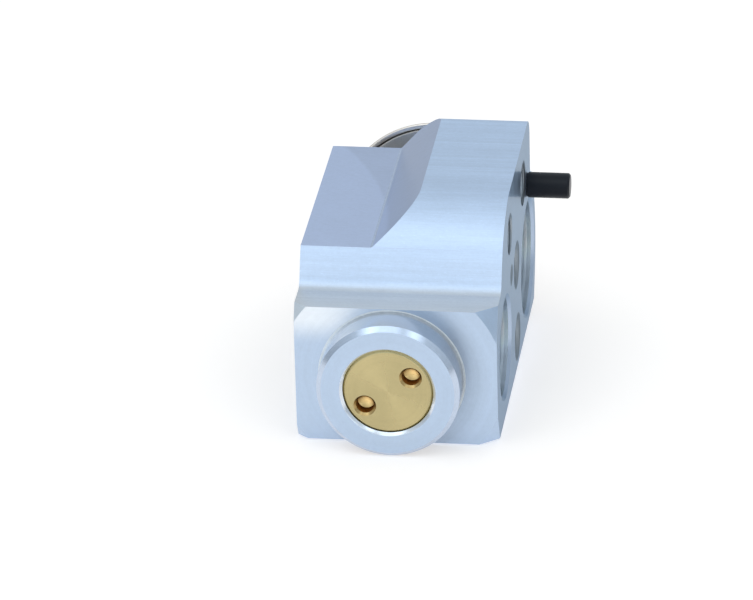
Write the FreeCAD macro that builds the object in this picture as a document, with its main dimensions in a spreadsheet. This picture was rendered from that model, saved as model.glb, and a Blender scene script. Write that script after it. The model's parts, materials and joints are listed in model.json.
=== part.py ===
import FreeCAD, Part

import math
import os

import Sketcher

# Block-type thermostatic expansion valve of a car's air conditioning.
# X runs from the evaporator face to the pipe face, Y runs along the valve axis from the
# adjusting end to the power head, and Z points up. The origin lies on the evaporator face,
# on the valve axis, between the two fixing holes. All sizes are millimetres.

SIZES = [
    # block, a sawn extrusion
    ("block_width", 38.0, "evaporator face to pipe face"),
    ("axis_inset", 18.2, "evaporator face to valve axis"),
    ("block_length", 67.6, "near turned face to far turned face"),
    ("bolt_line", 34.0, "near turned face to the fixing holes"),
    ("block_drop", 13.5, "valve axis to underside"),
    ("neck_rise", 14.0, "valve axis to the top of both ends"),
    ("lug_rise", 27.6, "valve axis to the top of the lug"),
    ("wall_foot", 8.3, "near face to the foot of the lug's near wall"),
    ("wall_lean", 5.8, "how far that wall leans away over its height"),
    ("ledge_length", 8.4, "far face to the far wall of the lug"),
    ("neck_fillet", 2.5, "hollow between neck and near wall"),
    ("shoulder_fillet", 15.5, "round from near wall to top"),
    ("brow_fillet", 3.8, "round from top to far wall"),
    ("ledge_fillet", 2.0, "hollow between far wall and ledge"),
    # step milled into the evaporator side of the lug
    ("step_floor", 21.0, "valve axis to the floor of the step"),
    ("step_foot", 13.4, "evaporator face to the foot of the ramp"),
    ("step_run", 7.9, "width of the ramp up to the top"),
    ("step_fillet", 0.8, "hollow at the foot of the ramp"),
    ("relief_depth", 2.8, "far wall of the lug to its trimmed part at the step"),
    ("relief_run", 3.2, "width of the slope beside that trim"),
    # turned ends
    ("near_face_radius", 21.1, "flat of the near face, inside its corner cone"),
    ("far_face_radius", 19.2, "flat of the far face, inside its corner cone"),
    ("cone_reach", 5.6, "radial width of both corner cones"),
    ("boss_radius", 13.44, "boss round the adjusting plug"),
    ("boss_length", 6.6, "near face to the front of the boss"),
    ("boss_chamfer", 0.9, "outer edge of the boss"),
    ("boss_groove_width", 0.45, "turned groove at the root of the boss"),
    ("boss_groove_depth", 0.35, "depth of that groove in the near face"),
    ("mouth_chamfer", 0.55, "inner edge of the boss"),
    # bores along the valve axis
    ("thread_bore_depth", 2.6, "near face to the end of the plug's thread"),
    ("chamber_radius", 7.2, "spring chamber"),
    ("chamber_end", 16.0, "near face to the floor of the chamber"),
    ("seat_mouth_radius", 2.7, "wide end of the ball seat"),
    ("orifice_radius", 1.7, "metering orifice"),
    ("web_end", 19.0, "near face to the end of the orifice"),
    ("seal_bore_radius", 5.2, "counterbore of the rod seal"),
    ("seal_bore_inset", 13.1, "suction passage to the floor of that counterbore"),
    ("head_bore_radius", 10.5, "threaded bore of the power head"),
    ("head_bore_depth", 5.6, "far face to the floor of that bore"),
    ("head_hole_radius", 7.0, "hole from the head into the suction passage"),
    # ports
    ("socket_depth", 7.0, "recess of each port"),
    ("socket_chamfer", 0.6, "mouth of each port"),
    ("inlet_line", 14.1, "near face to the liquid inlet"),
    ("inlet_socket_radius", 9.6, "recess of the liquid inlet"),
    ("inlet_bore_radius", 4.5, "bore of the liquid inlet"),
    ("inlet_bore_end", 4.5, "valve axis to the end of that bore"),
    ("outlet_line", 22.6, "near face to the evaporator feed"),
    ("outlet_socket_radius", 7.8, "recess of the evaporator feed"),
    ("outlet_bore_radius", 3.5, "bore of the evaporator feed"),
    ("suction_inset", 14.5, "far face to the suction passage"),
    ("suction_socket_radius", 11.2, "recess of the suction passage"),
    ("suction_bore_radius", 8.5, "suction passage"),
    # tapped and spotted holes
    ("tap_radius", 3.4, "core of every tapped hole"),
    ("sink_angle", 120.0, "degrees across the countersinks of the pipe and evaporator faces"),
    ("fixing_hole_rise", 7.6, "valve axis to each fixing hole"),
    ("fixing_hole_radius", 3.4, "fixing holes through the block"),
    ("fixing_mouth_radius", 4.7, "countersink of the fixing holes"),
    ("tap_depth", 16.0, "blind tapped holes of the pipe face"),
    ("tap_tip", 1.9, "drill point of the blind holes"),
    ("near_tap_line", 23.7, "near face to the near blind hole"),
    ("near_tap_rise", 19.0, "valve axis to the near blind hole"),
    ("near_tap_mouth", 4.0, "countersink of the near blind hole"),
    ("far_tap_inset", 20.8, "far face to the far blind hole"),
    ("far_tap_rise", 18.8, "valve axis to the far blind hole"),
    ("far_tap_mouth", 4.4, "countersink of the far blind hole"),
    ("spot_line", 25.5, "near face to the small spot mark"),
    ("spot_rise", 9.6, "valve axis to the spot mark"),
    ("spot_radius", 2.1, "spot mark"),
    ("spot_depth", 0.7, "depth of the spot mark"),
    # locating pin
    ("pin_radius", 2.48, "locating pin"),
    ("pin_shank_radius", 2.3, "thinner shank that is pressed into the block"),
    ("pin_relief", 0.3, "shank left bare between the pipe face and the pin's shoulder"),
    ("pin_inset", 14.0, "far face to the locating pin"),
    ("pin_rise", 15.4, "valve axis to the locating pin"),
    ("pin_seat_depth", 7.0, "how deep the pin is pressed in"),
    ("pin_projection", 8.4, "how far the pin stands out"),
    ("pin_chamfer", 0.35, "free end of the pin"),
    # adjusting plug
    ("plug_radius", 8.4, "threaded body of the plug"),
    ("thread_clearance", 0.08, "play of the plug in its bore"),
    ("plug_recess", 0.45, "front of the boss to the face of the plug"),
    ("plug_chamfer", 0.35, "front edge of the plug"),
    ("plug_thread_end", 1.0, "near face to the end of the plug's thread"),
    ("plug_nose_radius", 7.1, "nose of the plug in the chamber"),
    ("plug_nose_end", 6.4, "near face to the end of the nose"),
    ("plug_ring_line", 4.6, "near face to the middle of the seal ring"),
    ("plug_ring_section", 0.75, "section radius of the seal ring"),
    ("ring_clearance", 0.05, "play round a seal ring that slides"),
    ("spring_pocket_radius", 4.75, "pocket for the spring"),
    ("spring_pocket_floor", 1.0, "near face to the floor of that pocket"),
    ("spanner_across", 4.35, "valve axis to each spanner hole, across"),
    ("spanner_rise", 3.03, "valve axis to each spanner hole, up"),
    ("spanner_radius", 1.68, "blind spanner hole"),
    ("spanner_mouth", 2.15, "countersink of the spanner hole"),
    ("spanner_depth", 2.6, "wall of the spanner hole"),
    ("spanner_tip", 0.9, "drill point of the spanner hole"),
    # valve train
    ("ball_radius", 2.6, "valve ball"),
    ("valve_lift", 0.4, "opening of the valve as modelled"),
    ("stop_gap", 0.45, "further opening left before the stop"),
    ("carrier_radius", 4.7, "flange of the ball carrier"),
    ("carrier_thickness", 1.2, "flange of the ball carrier"),
    ("carrier_rim", 0.9, "height of the cup round the ball"),
    ("carrier_cup_radius", 3.1, "outside of that cup"),
    ("carrier_nose_radius", 2.9, "nose inside the spring"),
    ("carrier_nose_length", 2.6, "length of that nose"),
    ("spring_radius", 3.85, "mean radius of the bias spring"),
    ("wire_radius", 0.6, "wire of the bias spring"),
    ("spring_turns", 4.5, "turns of the bias spring"),
    ("damper_thickness", 0.4, "sheet of the damping spring"),
    ("damper_inner_radius", 5.0, "ring of the damping spring, inside"),
    ("damper_outer_radius", 6.1, "ring of the damping spring, outside"),
    ("damper_leg_length", 2.6, "legs of the damping spring"),
    ("damper_leg_width", 2.4, "legs of the damping spring"),
    ("damper_clearance", 0.2, "middle of each leg to the wall of the chamber"),
    ("push_rod_radius", 1.1, "thin rod through the orifice"),
    ("push_rod_bury", 2.0, "thin rod's end inside the sensing rod"),
    ("rod_radius", 3.0, "sensing rod"),
    ("rod_clearance", 0.05, "play of the sensing rod"),
    ("rod_lead", 8.0, "thin end of the sensing rod to the counterbore of its seal"),
    ("rod_taper", 1.2, "cone at the thin end of the sensing rod"),
    ("sleeve_wall", 1.1, "damping sleeve on the sensing rod"),
    ("sleeve_half_length", 6.2, "half of the damping sleeve"),
    ("seal_washer_thickness", 0.7, "washer over the rod seal"),
    ("seal_washer_play", 0.35, "washer and retainer to the rod"),
    ("retainer_thickness", 0.4, "toothed retainer"),
    ("retainer_slots", 8, "slots between the retainer's teeth"),
    ("retainer_slot_width", 0.7, "width of each slot"),
    ("retainer_slot_length", 0.95, "length of each slot"),
    # power head
    ("sheet_gauge", 1.2, "lower housing"),
    ("head_thread_play", 0.05, "neck of the head in its bore"),
    ("neck_end_gap", 0.3, "neck of the head to the floor of its bore"),
    ("hub_radius", 13.0, "drawn hub of the lower housing"),
    ("hub_height", 5.3, "far face to the flange of the lower housing"),
    ("flange_radius", 17.7, "flange of the lower housing"),
    ("flange_chamfer", 0.35, "edge of that flange"),
    ("rim_play", 0.4, "flange of the lower housing to the skirt round it"),
    ("rim_wall", 0.9, "skirt of the upper housing"),
    ("rim_overlap", 0.3, "skirt standing out past the flange"),
    ("diaphragm_thickness", 0.25, "diaphragm"),
    ("diaphragm_gap", 0.05, "pad to diaphragm"),
    ("clamp_width", 2.5, "clamped rim, along the radius"),
    ("dome_gauge", 1.0, "upper housing"),
    ("dome_rise", 3.4, "clamped rim to the flat top inside"),
    ("dome_shoulder", 4.7, "clamped rim to the flat top inside, along the radius"),
    ("rim_round", 0.35, "outer edges of the upper housing"),
    ("pad_play", 0.45, "pad to the hub round it"),
    ("pad_gauge", 1.0, "sheet of the pad"),
    ("pad_hub_radius", 4.8, "hub that holds the rod"),
    ("pad_hub_length", 3.6, "length of that hub"),
    ("rod_socket_depth", 2.4, "rod's end inside the pad's hub"),
    ("head_ring_section", 0.65, "section radius of the head's seal ring"),
    ("filler_radius", 1.7, "plug of the filling hole"),
    ("filler_height", 1.0, "height of that plug"),
    ("filler_hole_radius", 0.9, "filling hole"),
]

TOLERANCE = 1e-4


class Term:
    """A number together with its text as an expression on the sheet's cells."""

    def __init__(self, value, text):
        self.value = float(value)
        self.text = text

    def __add__(self, other):
        other = as_term(other)
        return Term(self.value + other.value, f"({self.text} + {other.text})")

    def __sub__(self, other):
        other = as_term(other)
        return Term(self.value - other.value, f"({self.text} - {other.text})")

    def __mul__(self, other):
        other = as_term(other)
        return Term(self.value * other.value, f"({self.text} * {other.text})")

    def __truediv__(self, other):
        other = as_term(other)
        return Term(self.value / other.value, f"({self.text} / {other.text})")

    def __radd__(self, other):
        return as_term(other) + self

    def __rsub__(self, other):
        return as_term(other) - self

    def __neg__(self):
        return Term(-self.value, f"(-1 * {self.text})")


def as_term(number):
    return number if isinstance(number, Term) else Term(number, repr(number))


class Sizes:
    """The spreadsheet: each size is one cell with an alias, read back as a Term."""

    def __init__(self, document, rows):
        self.sheet = document.addObject("Spreadsheet::Sheet", "sizes")
        self.terms = {}
        for row, (alias, value, meaning) in enumerate(rows, start=1):
            self.sheet.set(f"A{row}", meaning)
            self.sheet.set(f"B{row}", str(value))
            self.sheet.setAlias(f"B{row}", alias)
            self.terms[alias] = Term(value, f"sizes.{alias}")
        document.recompute()

    def __getattr__(self, alias):
        return self.terms[alias]


doc = FreeCAD.newDocument("expansion_valve")
s = Sizes(doc, SIZES)
nodes = []


def from_near(distance):
    """Y of a place that is measured from the near turned face."""
    return distance - s.bolt_line


# Helpers for sketches and features.

def bind(item, prop, term):
    """Sets a property through an expression, or as a number where nothing can change it."""
    term = as_term(term)
    if "sizes." in term.text:
        item.setExpression(prop, term.text)
    else:
        setattr(item, prop, term.value)


def new_body(name):
    body = doc.addObject("PartDesign::Body", name)
    body.Label = name
    nodes.append(body)
    return body


def new_sketch(body, name, role, across=0.0, along=0.0, out=0.0):
    """An empty sketch on one of the body's origin planes, moved by the three offsets."""
    sketch = body.newObject("Sketcher::SketchObject", name)
    plane = next(item for item in body.Origin.OriginFeatures if item.Role == role)
    sketch.AttachmentSupport = (plane, [""])
    sketch.MapMode = "FlatFace"
    for letter, offset in (("x", across), ("y", along), ("z", out)):
        offset = as_term(offset)
        if "sizes." in offset.text:
            sketch.setExpression(f"AttachmentOffset.Base.{letter}", offset.text)
    return sketch


def outline(sketch, corners):
    """Draws a closed polygon and ties both coordinates of every corner to the sheet."""
    corners = [(as_term(across), as_term(along)) for across, along in corners]
    points = [FreeCAD.Vector(across.value, along.value, 0) for across, along in corners]
    count = len(points)
    for index, point in enumerate(points):
        sketch.addGeometry(Part.LineSegment(point, points[(index + 1) % count]), False)
    for index in range(count):
        follower = (index + 1) % count
        sketch.addConstraint(Sketcher.Constraint("Coincident", index, 2, follower, 1))
    for index, corner in enumerate(corners):
        for kind, term in zip(("DistanceX", "DistanceY"), corner):
            place = sketch.addConstraint(Sketcher.Constraint(kind, -1, 1, index, 1, term.value))
            sketch.renameConstraint(place, f"{kind}_{index}")
            if "sizes." in term.text:
                sketch.setExpression(f"Constraints.{kind}_{index}", term.text)


def finish(feature, body):
    """Recomputes, and stops where the feature has failed or left no solid."""
    doc.recompute()
    if "Invalid" in feature.State or "Error" in feature.State or feature.Shape.isNull():
        raise RuntimeError(f"{feature.Name} of {body.Label} failed")
    body.Tip = feature
    return feature


def volume_of(body):
    return body.Tip.Shape.Volume if body.Tip else 0.0


def cut_is_real(body, before, name):
    if volume_of(body) > before - TOLERANCE:
        raise RuntimeError(f"{name} of {body.Label} cut nothing")


def spin(body, name, profile, kind="PartDesign::Revolution", across=None, along=0.0, out=0.0,
         line="V_Axis"):
    """Turns a profile once round an axis: the V axis runs along Y and the H axis along X."""
    across = s.axis_inset if across is None else across
    sketch = new_sketch(body, f"{name}_section", "XY_Plane", across, along, out)
    outline(sketch, profile)
    before = volume_of(body)
    feature = body.newObject(kind, name)
    feature.Profile = sketch
    feature.ReferenceAxis = (sketch, [line])
    feature.Angle = 360
    finish(feature, body)
    if kind == "PartDesign::Groove":
        cut_is_real(body, before, name)
    return feature


def bore_along_y(body, name, profile, across=None, out=0.0):
    """A stepped hole along Y; the profile gives (radius, distance from the near face)."""
    corners = [(radius, from_near(place)) for radius, place in profile]
    return spin(body, name, corners, "PartDesign::Groove", across=across, out=out)


def bore_along_x(body, name, line, rise, profile):
    """A stepped hole along X; the profile gives (X, radius)."""
    return spin(body, name, profile, "PartDesign::Groove", across=0.0, along=from_near(line),
                out=rise, line="H_Axis")


def turned(name, profile):
    """A turned piece on the valve axis; the profile gives (radius, distance from near face)."""
    body = new_body(name)
    spin(body, f"{name}_turning", [(radius, from_near(place)) for radius, place in profile])
    return body


def edges_where(feature, test):
    return [f"Edge{index}" for index, edge in enumerate(feature.Shape.Edges, start=1)
            if test(edge)]


def rounded(body, name, radius, test, kind="PartDesign::Fillet"):
    """Fillets or chamfers the edges that pass the test."""
    base = body.Tip
    edges = edges_where(base, test)
    if not edges:
        raise RuntimeError(f"{name} of {body.Label} found no edge")
    feature = body.newObject(kind, name)
    feature.Base = (base, edges)
    bind(feature, "Radius" if kind.endswith("Fillet") else "Size", radius)
    return finish(feature, body)


def runs_along_x(y, z):
    """Test for the straight edges along X through a place in the side profile."""
    def test(edge):
        return all(abs(point.Y - y.value) < TOLERANCE and abs(point.Z - z.value) < TOLERANCE
                   for point in edge.Vertexes)
    return test


def is_ring(radius, y):
    """Test for the circular edges round the valve axis with a radius and a place."""
    def test(edge):
        curve = edge.Curve
        return (isinstance(curve, Part.Circle) and abs(curve.Radius - radius.value) < TOLERANCE
                and abs(curve.Center.y - y.value) < TOLERANCE)
    return test


def seal_ring(name, mean_radius, section, place):
    """A ring of round section about the valve axis."""
    ring = doc.addObject("Part::Torus", name)
    ring.Label = name
    bind(ring, "Radius1", mean_radius)
    bind(ring, "Radius2", section)
    ring.Placement.Rotation = FreeCAD.Rotation(FreeCAD.Vector(1, 0, 0), 90)
    ring.setExpression("Placement.Base.x", s.axis_inset.text)
    ring.setExpression("Placement.Base.y", from_near(place).text)
    nodes.append(ring)
    return ring


# Places that several pieces share.
zero = as_term(0)
far_face = s.block_length
lug_end = far_face - s.ledge_length
suction_line = far_face - s.suction_inset
seal_bore_start = suction_line - s.seal_bore_inset
rod_start = seal_bore_start - s.rod_lead
pin_line = far_face - s.pin_inset
thread_radius = s.plug_radius + s.thread_clearance
guide_radius = s.rod_radius + s.rod_clearance
plug_front = s.plug_recess - s.boss_length
head_neck_radius = s.head_bore_radius - s.head_thread_play
head_neck_end = far_face - s.head_bore_depth + s.neck_end_gap
flange_face = far_face + s.hub_height
clamp_face = flange_face + s.sheet_gauge
pad_face = clamp_face - s.diaphragm_gap
half_cone = math.sqrt(2)
sink_slope = Term(math.tan(math.radians(s.sink_angle.value / 2)),
                  f"tan({s.sink_angle.text} / 2 * 1 deg)")
ball_centre = (s.chamber_end + s.seat_mouth_radius - s.ball_radius * half_cone) - s.valve_lift
carrier_face = ball_centre - s.ball_radius / 2
spring_seat = carrier_face - s.carrier_rim - s.carrier_thickness
pad_inner_face = pad_face - s.pad_gauge
rod_end = pad_inner_face - s.pad_hub_length + s.rod_socket_depth


def make_valve_block():
    """The aluminium body: a sawn extrusion, turned at both ends, milled, bored and tapped."""
    body = new_body("valve_block")
    near, far, bottom = from_near(zero), from_near(far_face), -s.block_drop
    foot = from_near(s.wall_foot)
    lean_top = from_near(s.wall_foot + s.wall_lean)
    lug_far = from_near(lug_end)
    profile = new_sketch(body, "side_profile", "YZ_Plane")
    outline(profile, [(near, bottom), (far, bottom), (far, s.neck_rise), (lug_far, s.neck_rise),
                      (lug_far, s.lug_rise), (lean_top, s.lug_rise), (foot, s.neck_rise),
                      (near, s.neck_rise)])
    pad = body.newObject("PartDesign::Pad", "extrusion")
    pad.Profile = profile
    bind(pad, "Length", s.block_width)
    finish(pad, body)
    rounded(body, "shoulder", s.shoulder_fillet, runs_along_x(lean_top, s.lug_rise))
    rounded(body, "brow", s.brow_fillet, runs_along_x(lug_far, s.lug_rise))
    rounded(body, "neck_hollow", s.neck_fillet, runs_along_x(foot, s.neck_rise))
    rounded(body, "ledge_hollow", s.ledge_fillet, runs_along_x(lug_far, s.neck_rise))
    mill_step(body)
    turn_ends(body)
    bore_axis(body)
    bore_ports(body)
    tap_holes(body)
    return body


def mill(body, name, role, corners, length, out=0.0, symmetric=True):
    """Mills a polygon away, both ways from its plane or upwards from it."""
    sketch = new_sketch(body, f"{name}_plan", role, out=out)
    outline(sketch, corners)
    before = volume_of(body)
    cut = body.newObject("PartDesign::Pocket", name)
    cut.Profile = sketch
    cut.Reversed = not symmetric
    cut.SideType = "Symmetric" if symmetric else "One side"
    bind(cut, "Length", length)
    finish(cut, body)
    cut_is_real(body, before, name)


def mill_step(body):
    """The step in the evaporator side: a flat floor, a straight ramp and a trimmed far wall."""
    clear = s.lug_rise
    slope = s.step_run / (s.lug_rise - s.step_floor)
    over_run = s.step_foot + slope * (clear + s.lug_rise - s.step_floor)
    mill(body, "step", "XZ_Plane",
         [(-s.axis_inset, s.step_floor), (s.step_foot, s.step_floor),
          (over_run, s.lug_rise + clear), (-s.axis_inset, s.lug_rise + clear)],
         s.block_length * 2)
    rounded(body, "ramp_hollow", s.step_fillet,
            lambda edge: all(abs(point.X - s.step_foot.value) < TOLERANCE
                             and abs(point.Z - s.step_floor.value) < TOLERANCE
                             for point in edge.Vertexes))
    trim, wall = from_near(lug_end - s.relief_depth), from_near(lug_end + s.ledge_fillet)
    slope_run = s.relief_run * (s.relief_depth + s.ledge_fillet) / s.relief_depth
    mill(body, "relief", "XY_Plane",
         [(-s.axis_inset, trim), (s.step_foot, trim), (s.step_foot + slope_run, wall),
          (-s.axis_inset, wall)],
         s.lug_rise, out=s.neck_rise, symmetric=False)


def turn_ends(body):
    """The boss at the near end, and the cones that take the corners off both ends."""
    near, far = from_near(zero), from_near(far_face)
    front = from_near(-s.boss_length)
    inside = s.boss_radius - s.boss_chamfer
    spin(body, "boss", [(zero, front), (inside, front), (s.boss_radius, front + s.boss_chamfer),
                        (s.boss_radius, near + s.boss_groove_depth),
                        (zero, near + s.boss_groove_depth)])
    bore_along_y(body, "boss_groove",
                 [(s.boss_radius, -s.boss_groove_depth), (s.boss_radius, s.boss_groove_depth),
                  (s.boss_radius + s.boss_groove_width, zero),
                  (s.boss_radius + s.boss_groove_width, -s.boss_groove_depth)])
    outer = s.near_face_radius + s.cone_reach
    spin(body, "near_cone", [(s.near_face_radius, near), (outer, near),
                             (outer, near + s.cone_reach)], "PartDesign::Groove")
    outer = s.far_face_radius + s.cone_reach
    spin(body, "far_cone", [(s.far_face_radius, far), (outer, far),
                            (outer, far - s.cone_reach)], "PartDesign::Groove")


def bore_axis(body):
    """Everything bored along the valve axis, from the plug's thread to the head's thread."""
    front = -s.boss_length
    bore_along_y(body, "plug_bore",
                 [(zero, front), (thread_radius + s.mouth_chamfer, front),
                  (thread_radius, front + s.mouth_chamfer), (thread_radius, s.thread_bore_depth),
                  (s.chamber_radius, s.thread_bore_depth), (s.chamber_radius, s.chamber_end),
                  (s.seat_mouth_radius, s.chamber_end),
                  (s.orifice_radius, s.chamber_end + s.seat_mouth_radius - s.orifice_radius),
                  (s.orifice_radius, s.web_end), (zero, s.web_end)])
    bore_along_y(body, "guide_bore",
                 [(zero, s.web_end), (guide_radius, s.web_end), (guide_radius, seal_bore_start),
                  (s.seal_bore_radius, seal_bore_start), (s.seal_bore_radius, suction_line),
                  (zero, suction_line)])
    floor = far_face - s.head_bore_depth
    gland = s.head_ring_section * (2 + half_cone) - s.head_thread_play
    bore_along_y(body, "head_bore",
                 [(zero, suction_line), (s.head_hole_radius, suction_line),
                  (s.head_hole_radius, floor), (s.head_bore_radius, floor),
                  (s.head_bore_radius, far_face - gland),
                  (s.head_bore_radius + gland, far_face), (zero, far_face)])


def socket(body, name, line, socket_radius, bore_radius, face, inward, bore_end):
    """A port: chamfered recess and bore, from a port face inwards to the bore's end."""
    floor = face + inward * s.socket_depth
    bore_along_x(body, name, line, 0.0,
                 [(face, zero), (face, socket_radius + s.socket_chamfer),
                  (face + inward * s.socket_chamfer, socket_radius), (floor, socket_radius),
                  (floor, bore_radius), (bore_end, bore_radius), (bore_end, zero)])


def bore_ports(body):
    """Liquid inlet, evaporator feed and the suction passage that runs right through."""
    inward, outward = as_term(1), as_term(-1)
    pipe_face = s.block_width
    socket(body, "inlet", s.inlet_line, s.inlet_socket_radius, s.inlet_bore_radius,
           pipe_face, outward, s.axis_inset + s.inlet_bore_end)
    socket(body, "outlet", s.outlet_line, s.outlet_socket_radius, s.outlet_bore_radius,
           zero, inward, s.axis_inset)
    socket(body, "suction_outlet", suction_line, s.suction_socket_radius,
           s.suction_bore_radius, pipe_face, outward, s.axis_inset)
    socket(body, "suction_inlet", suction_line, s.suction_socket_radius,
           s.suction_bore_radius, zero, inward, s.axis_inset)


def blind_tap(body, name, line, rise, mouth):
    """A tapped blind hole in the pipe face, with its countersink and drill point."""
    face = s.block_width
    floor = face - s.tap_depth
    sink = (mouth - s.tap_radius) / sink_slope
    bore_along_x(body, name, line, rise,
                 [(face, zero), (face, mouth), (face - sink, s.tap_radius),
                  (floor, s.tap_radius), (floor - s.tap_tip, zero)])


def tap_holes(body):
    """Two fixing holes right through, two blind tapped holes, a spot mark and the pin's seat."""
    face = s.block_width
    sink = (s.fixing_mouth_radius - s.fixing_hole_radius) / sink_slope
    for name, rise in (("upper_fixing_hole", s.fixing_hole_rise),
                       ("lower_fixing_hole", -s.fixing_hole_rise)):
        bore_along_x(body, name, s.bolt_line, rise,
                     [(zero, zero), (zero, s.fixing_mouth_radius),
                      (sink, s.fixing_hole_radius), (face - sink, s.fixing_hole_radius),
                      (face, s.fixing_mouth_radius), (face, zero)])
    blind_tap(body, "near_tapped_hole", s.near_tap_line, s.near_tap_rise, s.near_tap_mouth)
    blind_tap(body, "far_tapped_hole", far_face - s.far_tap_inset, s.far_tap_rise,
              s.far_tap_mouth)
    bore_along_x(body, "spot_mark", s.spot_line, s.spot_rise,
                 [(face, zero), (face, s.spot_radius), (face - s.spot_depth, zero)])
    bore_along_x(body, "pin_seat", pin_line, s.pin_rise,
                 [(face, zero), (face, s.pin_shank_radius),
                  (face - s.pin_seat_depth, s.pin_shank_radius),
                  (face - s.pin_seat_depth, zero)])


def make_locating_pin():
    """The black pin that keys the pipe flange, pressed into the pipe face."""
    body = new_body("locating_pin")
    face = s.block_width
    tip = face + s.pin_projection
    shoulder = face + s.pin_relief
    spin(body, "pin_turning",
         [(face - s.pin_seat_depth, zero), (face - s.pin_seat_depth, s.pin_shank_radius),
          (shoulder, s.pin_shank_radius), (shoulder, s.pin_radius),
          (tip - s.pin_chamfer, s.pin_radius), (tip, s.pin_radius - s.pin_chamfer), (tip, zero)],
         across=0.0, along=from_near(pin_line), out=s.pin_rise, line="H_Axis")


def make_adjusting_plug():
    """The brass plug: thread, ring groove, spring pocket and two blind spanner holes."""
    ring_half = s.plug_ring_section + s.ring_clearance
    groove_radius = s.chamber_radius - ring_half * 2
    body = turned("adjusting_plug",
                  [(zero, plug_front), (s.plug_radius - s.plug_chamfer, plug_front),
                   (s.plug_radius, plug_front + s.plug_chamfer), (s.plug_radius, s.plug_thread_end),
                   (s.plug_nose_radius, s.plug_thread_end),
                   (s.plug_nose_radius, s.plug_ring_line - ring_half),
                   (groove_radius, s.plug_ring_line - ring_half),
                   (groove_radius, s.plug_ring_line + ring_half),
                   (s.plug_nose_radius, s.plug_ring_line + ring_half),
                   (s.plug_nose_radius, s.plug_nose_end),
                   (s.spring_pocket_radius, s.plug_nose_end),
                   (s.spring_pocket_radius, s.spring_pocket_floor), (zero, s.spring_pocket_floor)])
    sink = s.spanner_mouth - s.spanner_radius
    floor = plug_front + s.spanner_depth
    hole = bore_along_y(body, "spanner_hole",
                        [(zero, plug_front), (s.spanner_mouth, plug_front),
                         (s.spanner_radius, plug_front + sink), (s.spanner_radius, floor),
                         (zero, floor + s.spanner_tip)],
                        across=s.axis_inset + s.spanner_across, out=s.spanner_rise)
    before = volume_of(body)
    pattern = body.newObject("PartDesign::PolarPattern", "spanner_holes")
    pattern.Originals = [hole]
    pattern.Axis = (doc.getObject("adjusting_plug_turning_section"), ["V_Axis"])
    pattern.Angle = 360
    pattern.Occurrences = 2
    finish(pattern, body)
    cut_is_real(body, before, "spanner_holes")


def make_adjusting_plug_ring():
    """The seal ring in the plug's groove."""
    half = s.plug_ring_section + s.ring_clearance
    seal_ring("adjusting_plug_o_ring", s.chamber_radius - half, s.plug_ring_section,
              s.plug_ring_line)


def make_bias_spring():
    """The coil spring between the plug's pocket and the ball carrier."""
    start = s.spring_pocket_floor + s.wire_radius
    length = spring_seat - s.spring_pocket_floor - s.wire_radius * 2
    helix = doc.addObject("Part::Helix", "spring_line")
    bind(helix, "Radius", s.spring_radius)
    bind(helix, "Height", length)
    bind(helix, "Pitch", length / s.spring_turns)
    wire = doc.addObject("Part::Circle", "spring_wire")
    bind(wire, "Radius", s.wire_radius)
    wire.Placement.Rotation = FreeCAD.Rotation(FreeCAD.Vector(1, 0, 0), 90)
    wire.setExpression("Placement.Base.x", s.spring_radius.text)
    sweep = doc.addObject("Part::Sweep", "bias_spring")
    sweep.Label = "bias_spring"
    sweep.Sections = [wire]
    sweep.Spine = (helix, ["Edge1"])
    sweep.Solid = True
    sweep.Frenet = True
    sweep.Placement.Rotation = FreeCAD.Rotation(FreeCAD.Vector(1, 0, 0), -90)
    sweep.setExpression("Placement.Base.x", s.axis_inset.text)
    sweep.setExpression("Placement.Base.y", from_near(start).text)
    nodes.append(sweep)


def make_ball_carrier():
    """The turned carrier: nose in the spring, flange on the spring, cup under the ball."""
    cup_depth = s.ball_radius * half_cone - s.ball_radius / 2
    turned("ball_carrier",
           [(zero, spring_seat - s.carrier_nose_length),
            (s.carrier_nose_radius, spring_seat - s.carrier_nose_length),
            (s.carrier_nose_radius, spring_seat), (s.carrier_radius, spring_seat),
            (s.carrier_radius, spring_seat + s.carrier_thickness),
            (s.carrier_cup_radius, spring_seat + s.carrier_thickness),
            (s.carrier_cup_radius, carrier_face), (cup_depth, carrier_face),
            (zero, carrier_face - cup_depth)])


def make_valve_ball():
    ball = doc.addObject("Part::Sphere", "valve_ball")
    ball.Label = "valve_ball"
    bind(ball, "Radius", s.ball_radius)
    ball.setExpression("Placement.Base.x", s.axis_inset.text)
    ball.setExpression("Placement.Base.y", from_near(ball_centre).text)
    nodes.append(ball)


def make_damping_spring():
    """A sheet ring on the carrier whose three legs rub on the wall of the chamber."""
    seat = spring_seat + s.carrier_thickness
    reach = s.chamber_radius - s.damper_clearance
    body = turned("damping_spring",
                  [(s.carrier_cup_radius, seat), (s.damper_outer_radius, seat),
                   (s.damper_outer_radius, seat + s.damper_thickness),
                   (s.carrier_cup_radius, seat + s.damper_thickness)])
    half = s.damper_leg_width / 2
    top = from_near(seat + s.damper_thickness)
    sketch = new_sketch(body, "leg_section", "XY_Plane", across=s.axis_inset, out=-half)
    outline(sketch, [(s.damper_inner_radius, top), (reach, top),
                     (reach, top - s.damper_leg_length),
                     (reach - s.damper_thickness, top - s.damper_leg_length),
                     (reach - s.damper_thickness, top - s.damper_thickness),
                     (s.damper_inner_radius, top - s.damper_thickness)])
    leg = body.newObject("PartDesign::Pad", "leg")
    leg.Profile = sketch
    bind(leg, "Length", s.damper_leg_width)
    finish(leg, body)
    pattern = body.newObject("PartDesign::PolarPattern", "legs")
    pattern.Originals = [leg]
    pattern.Axis = (doc.getObject("damping_spring_turning_section"), ["V_Axis"])
    pattern.Angle = 360
    pattern.Occurrences = 3
    finish(pattern, body)


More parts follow.
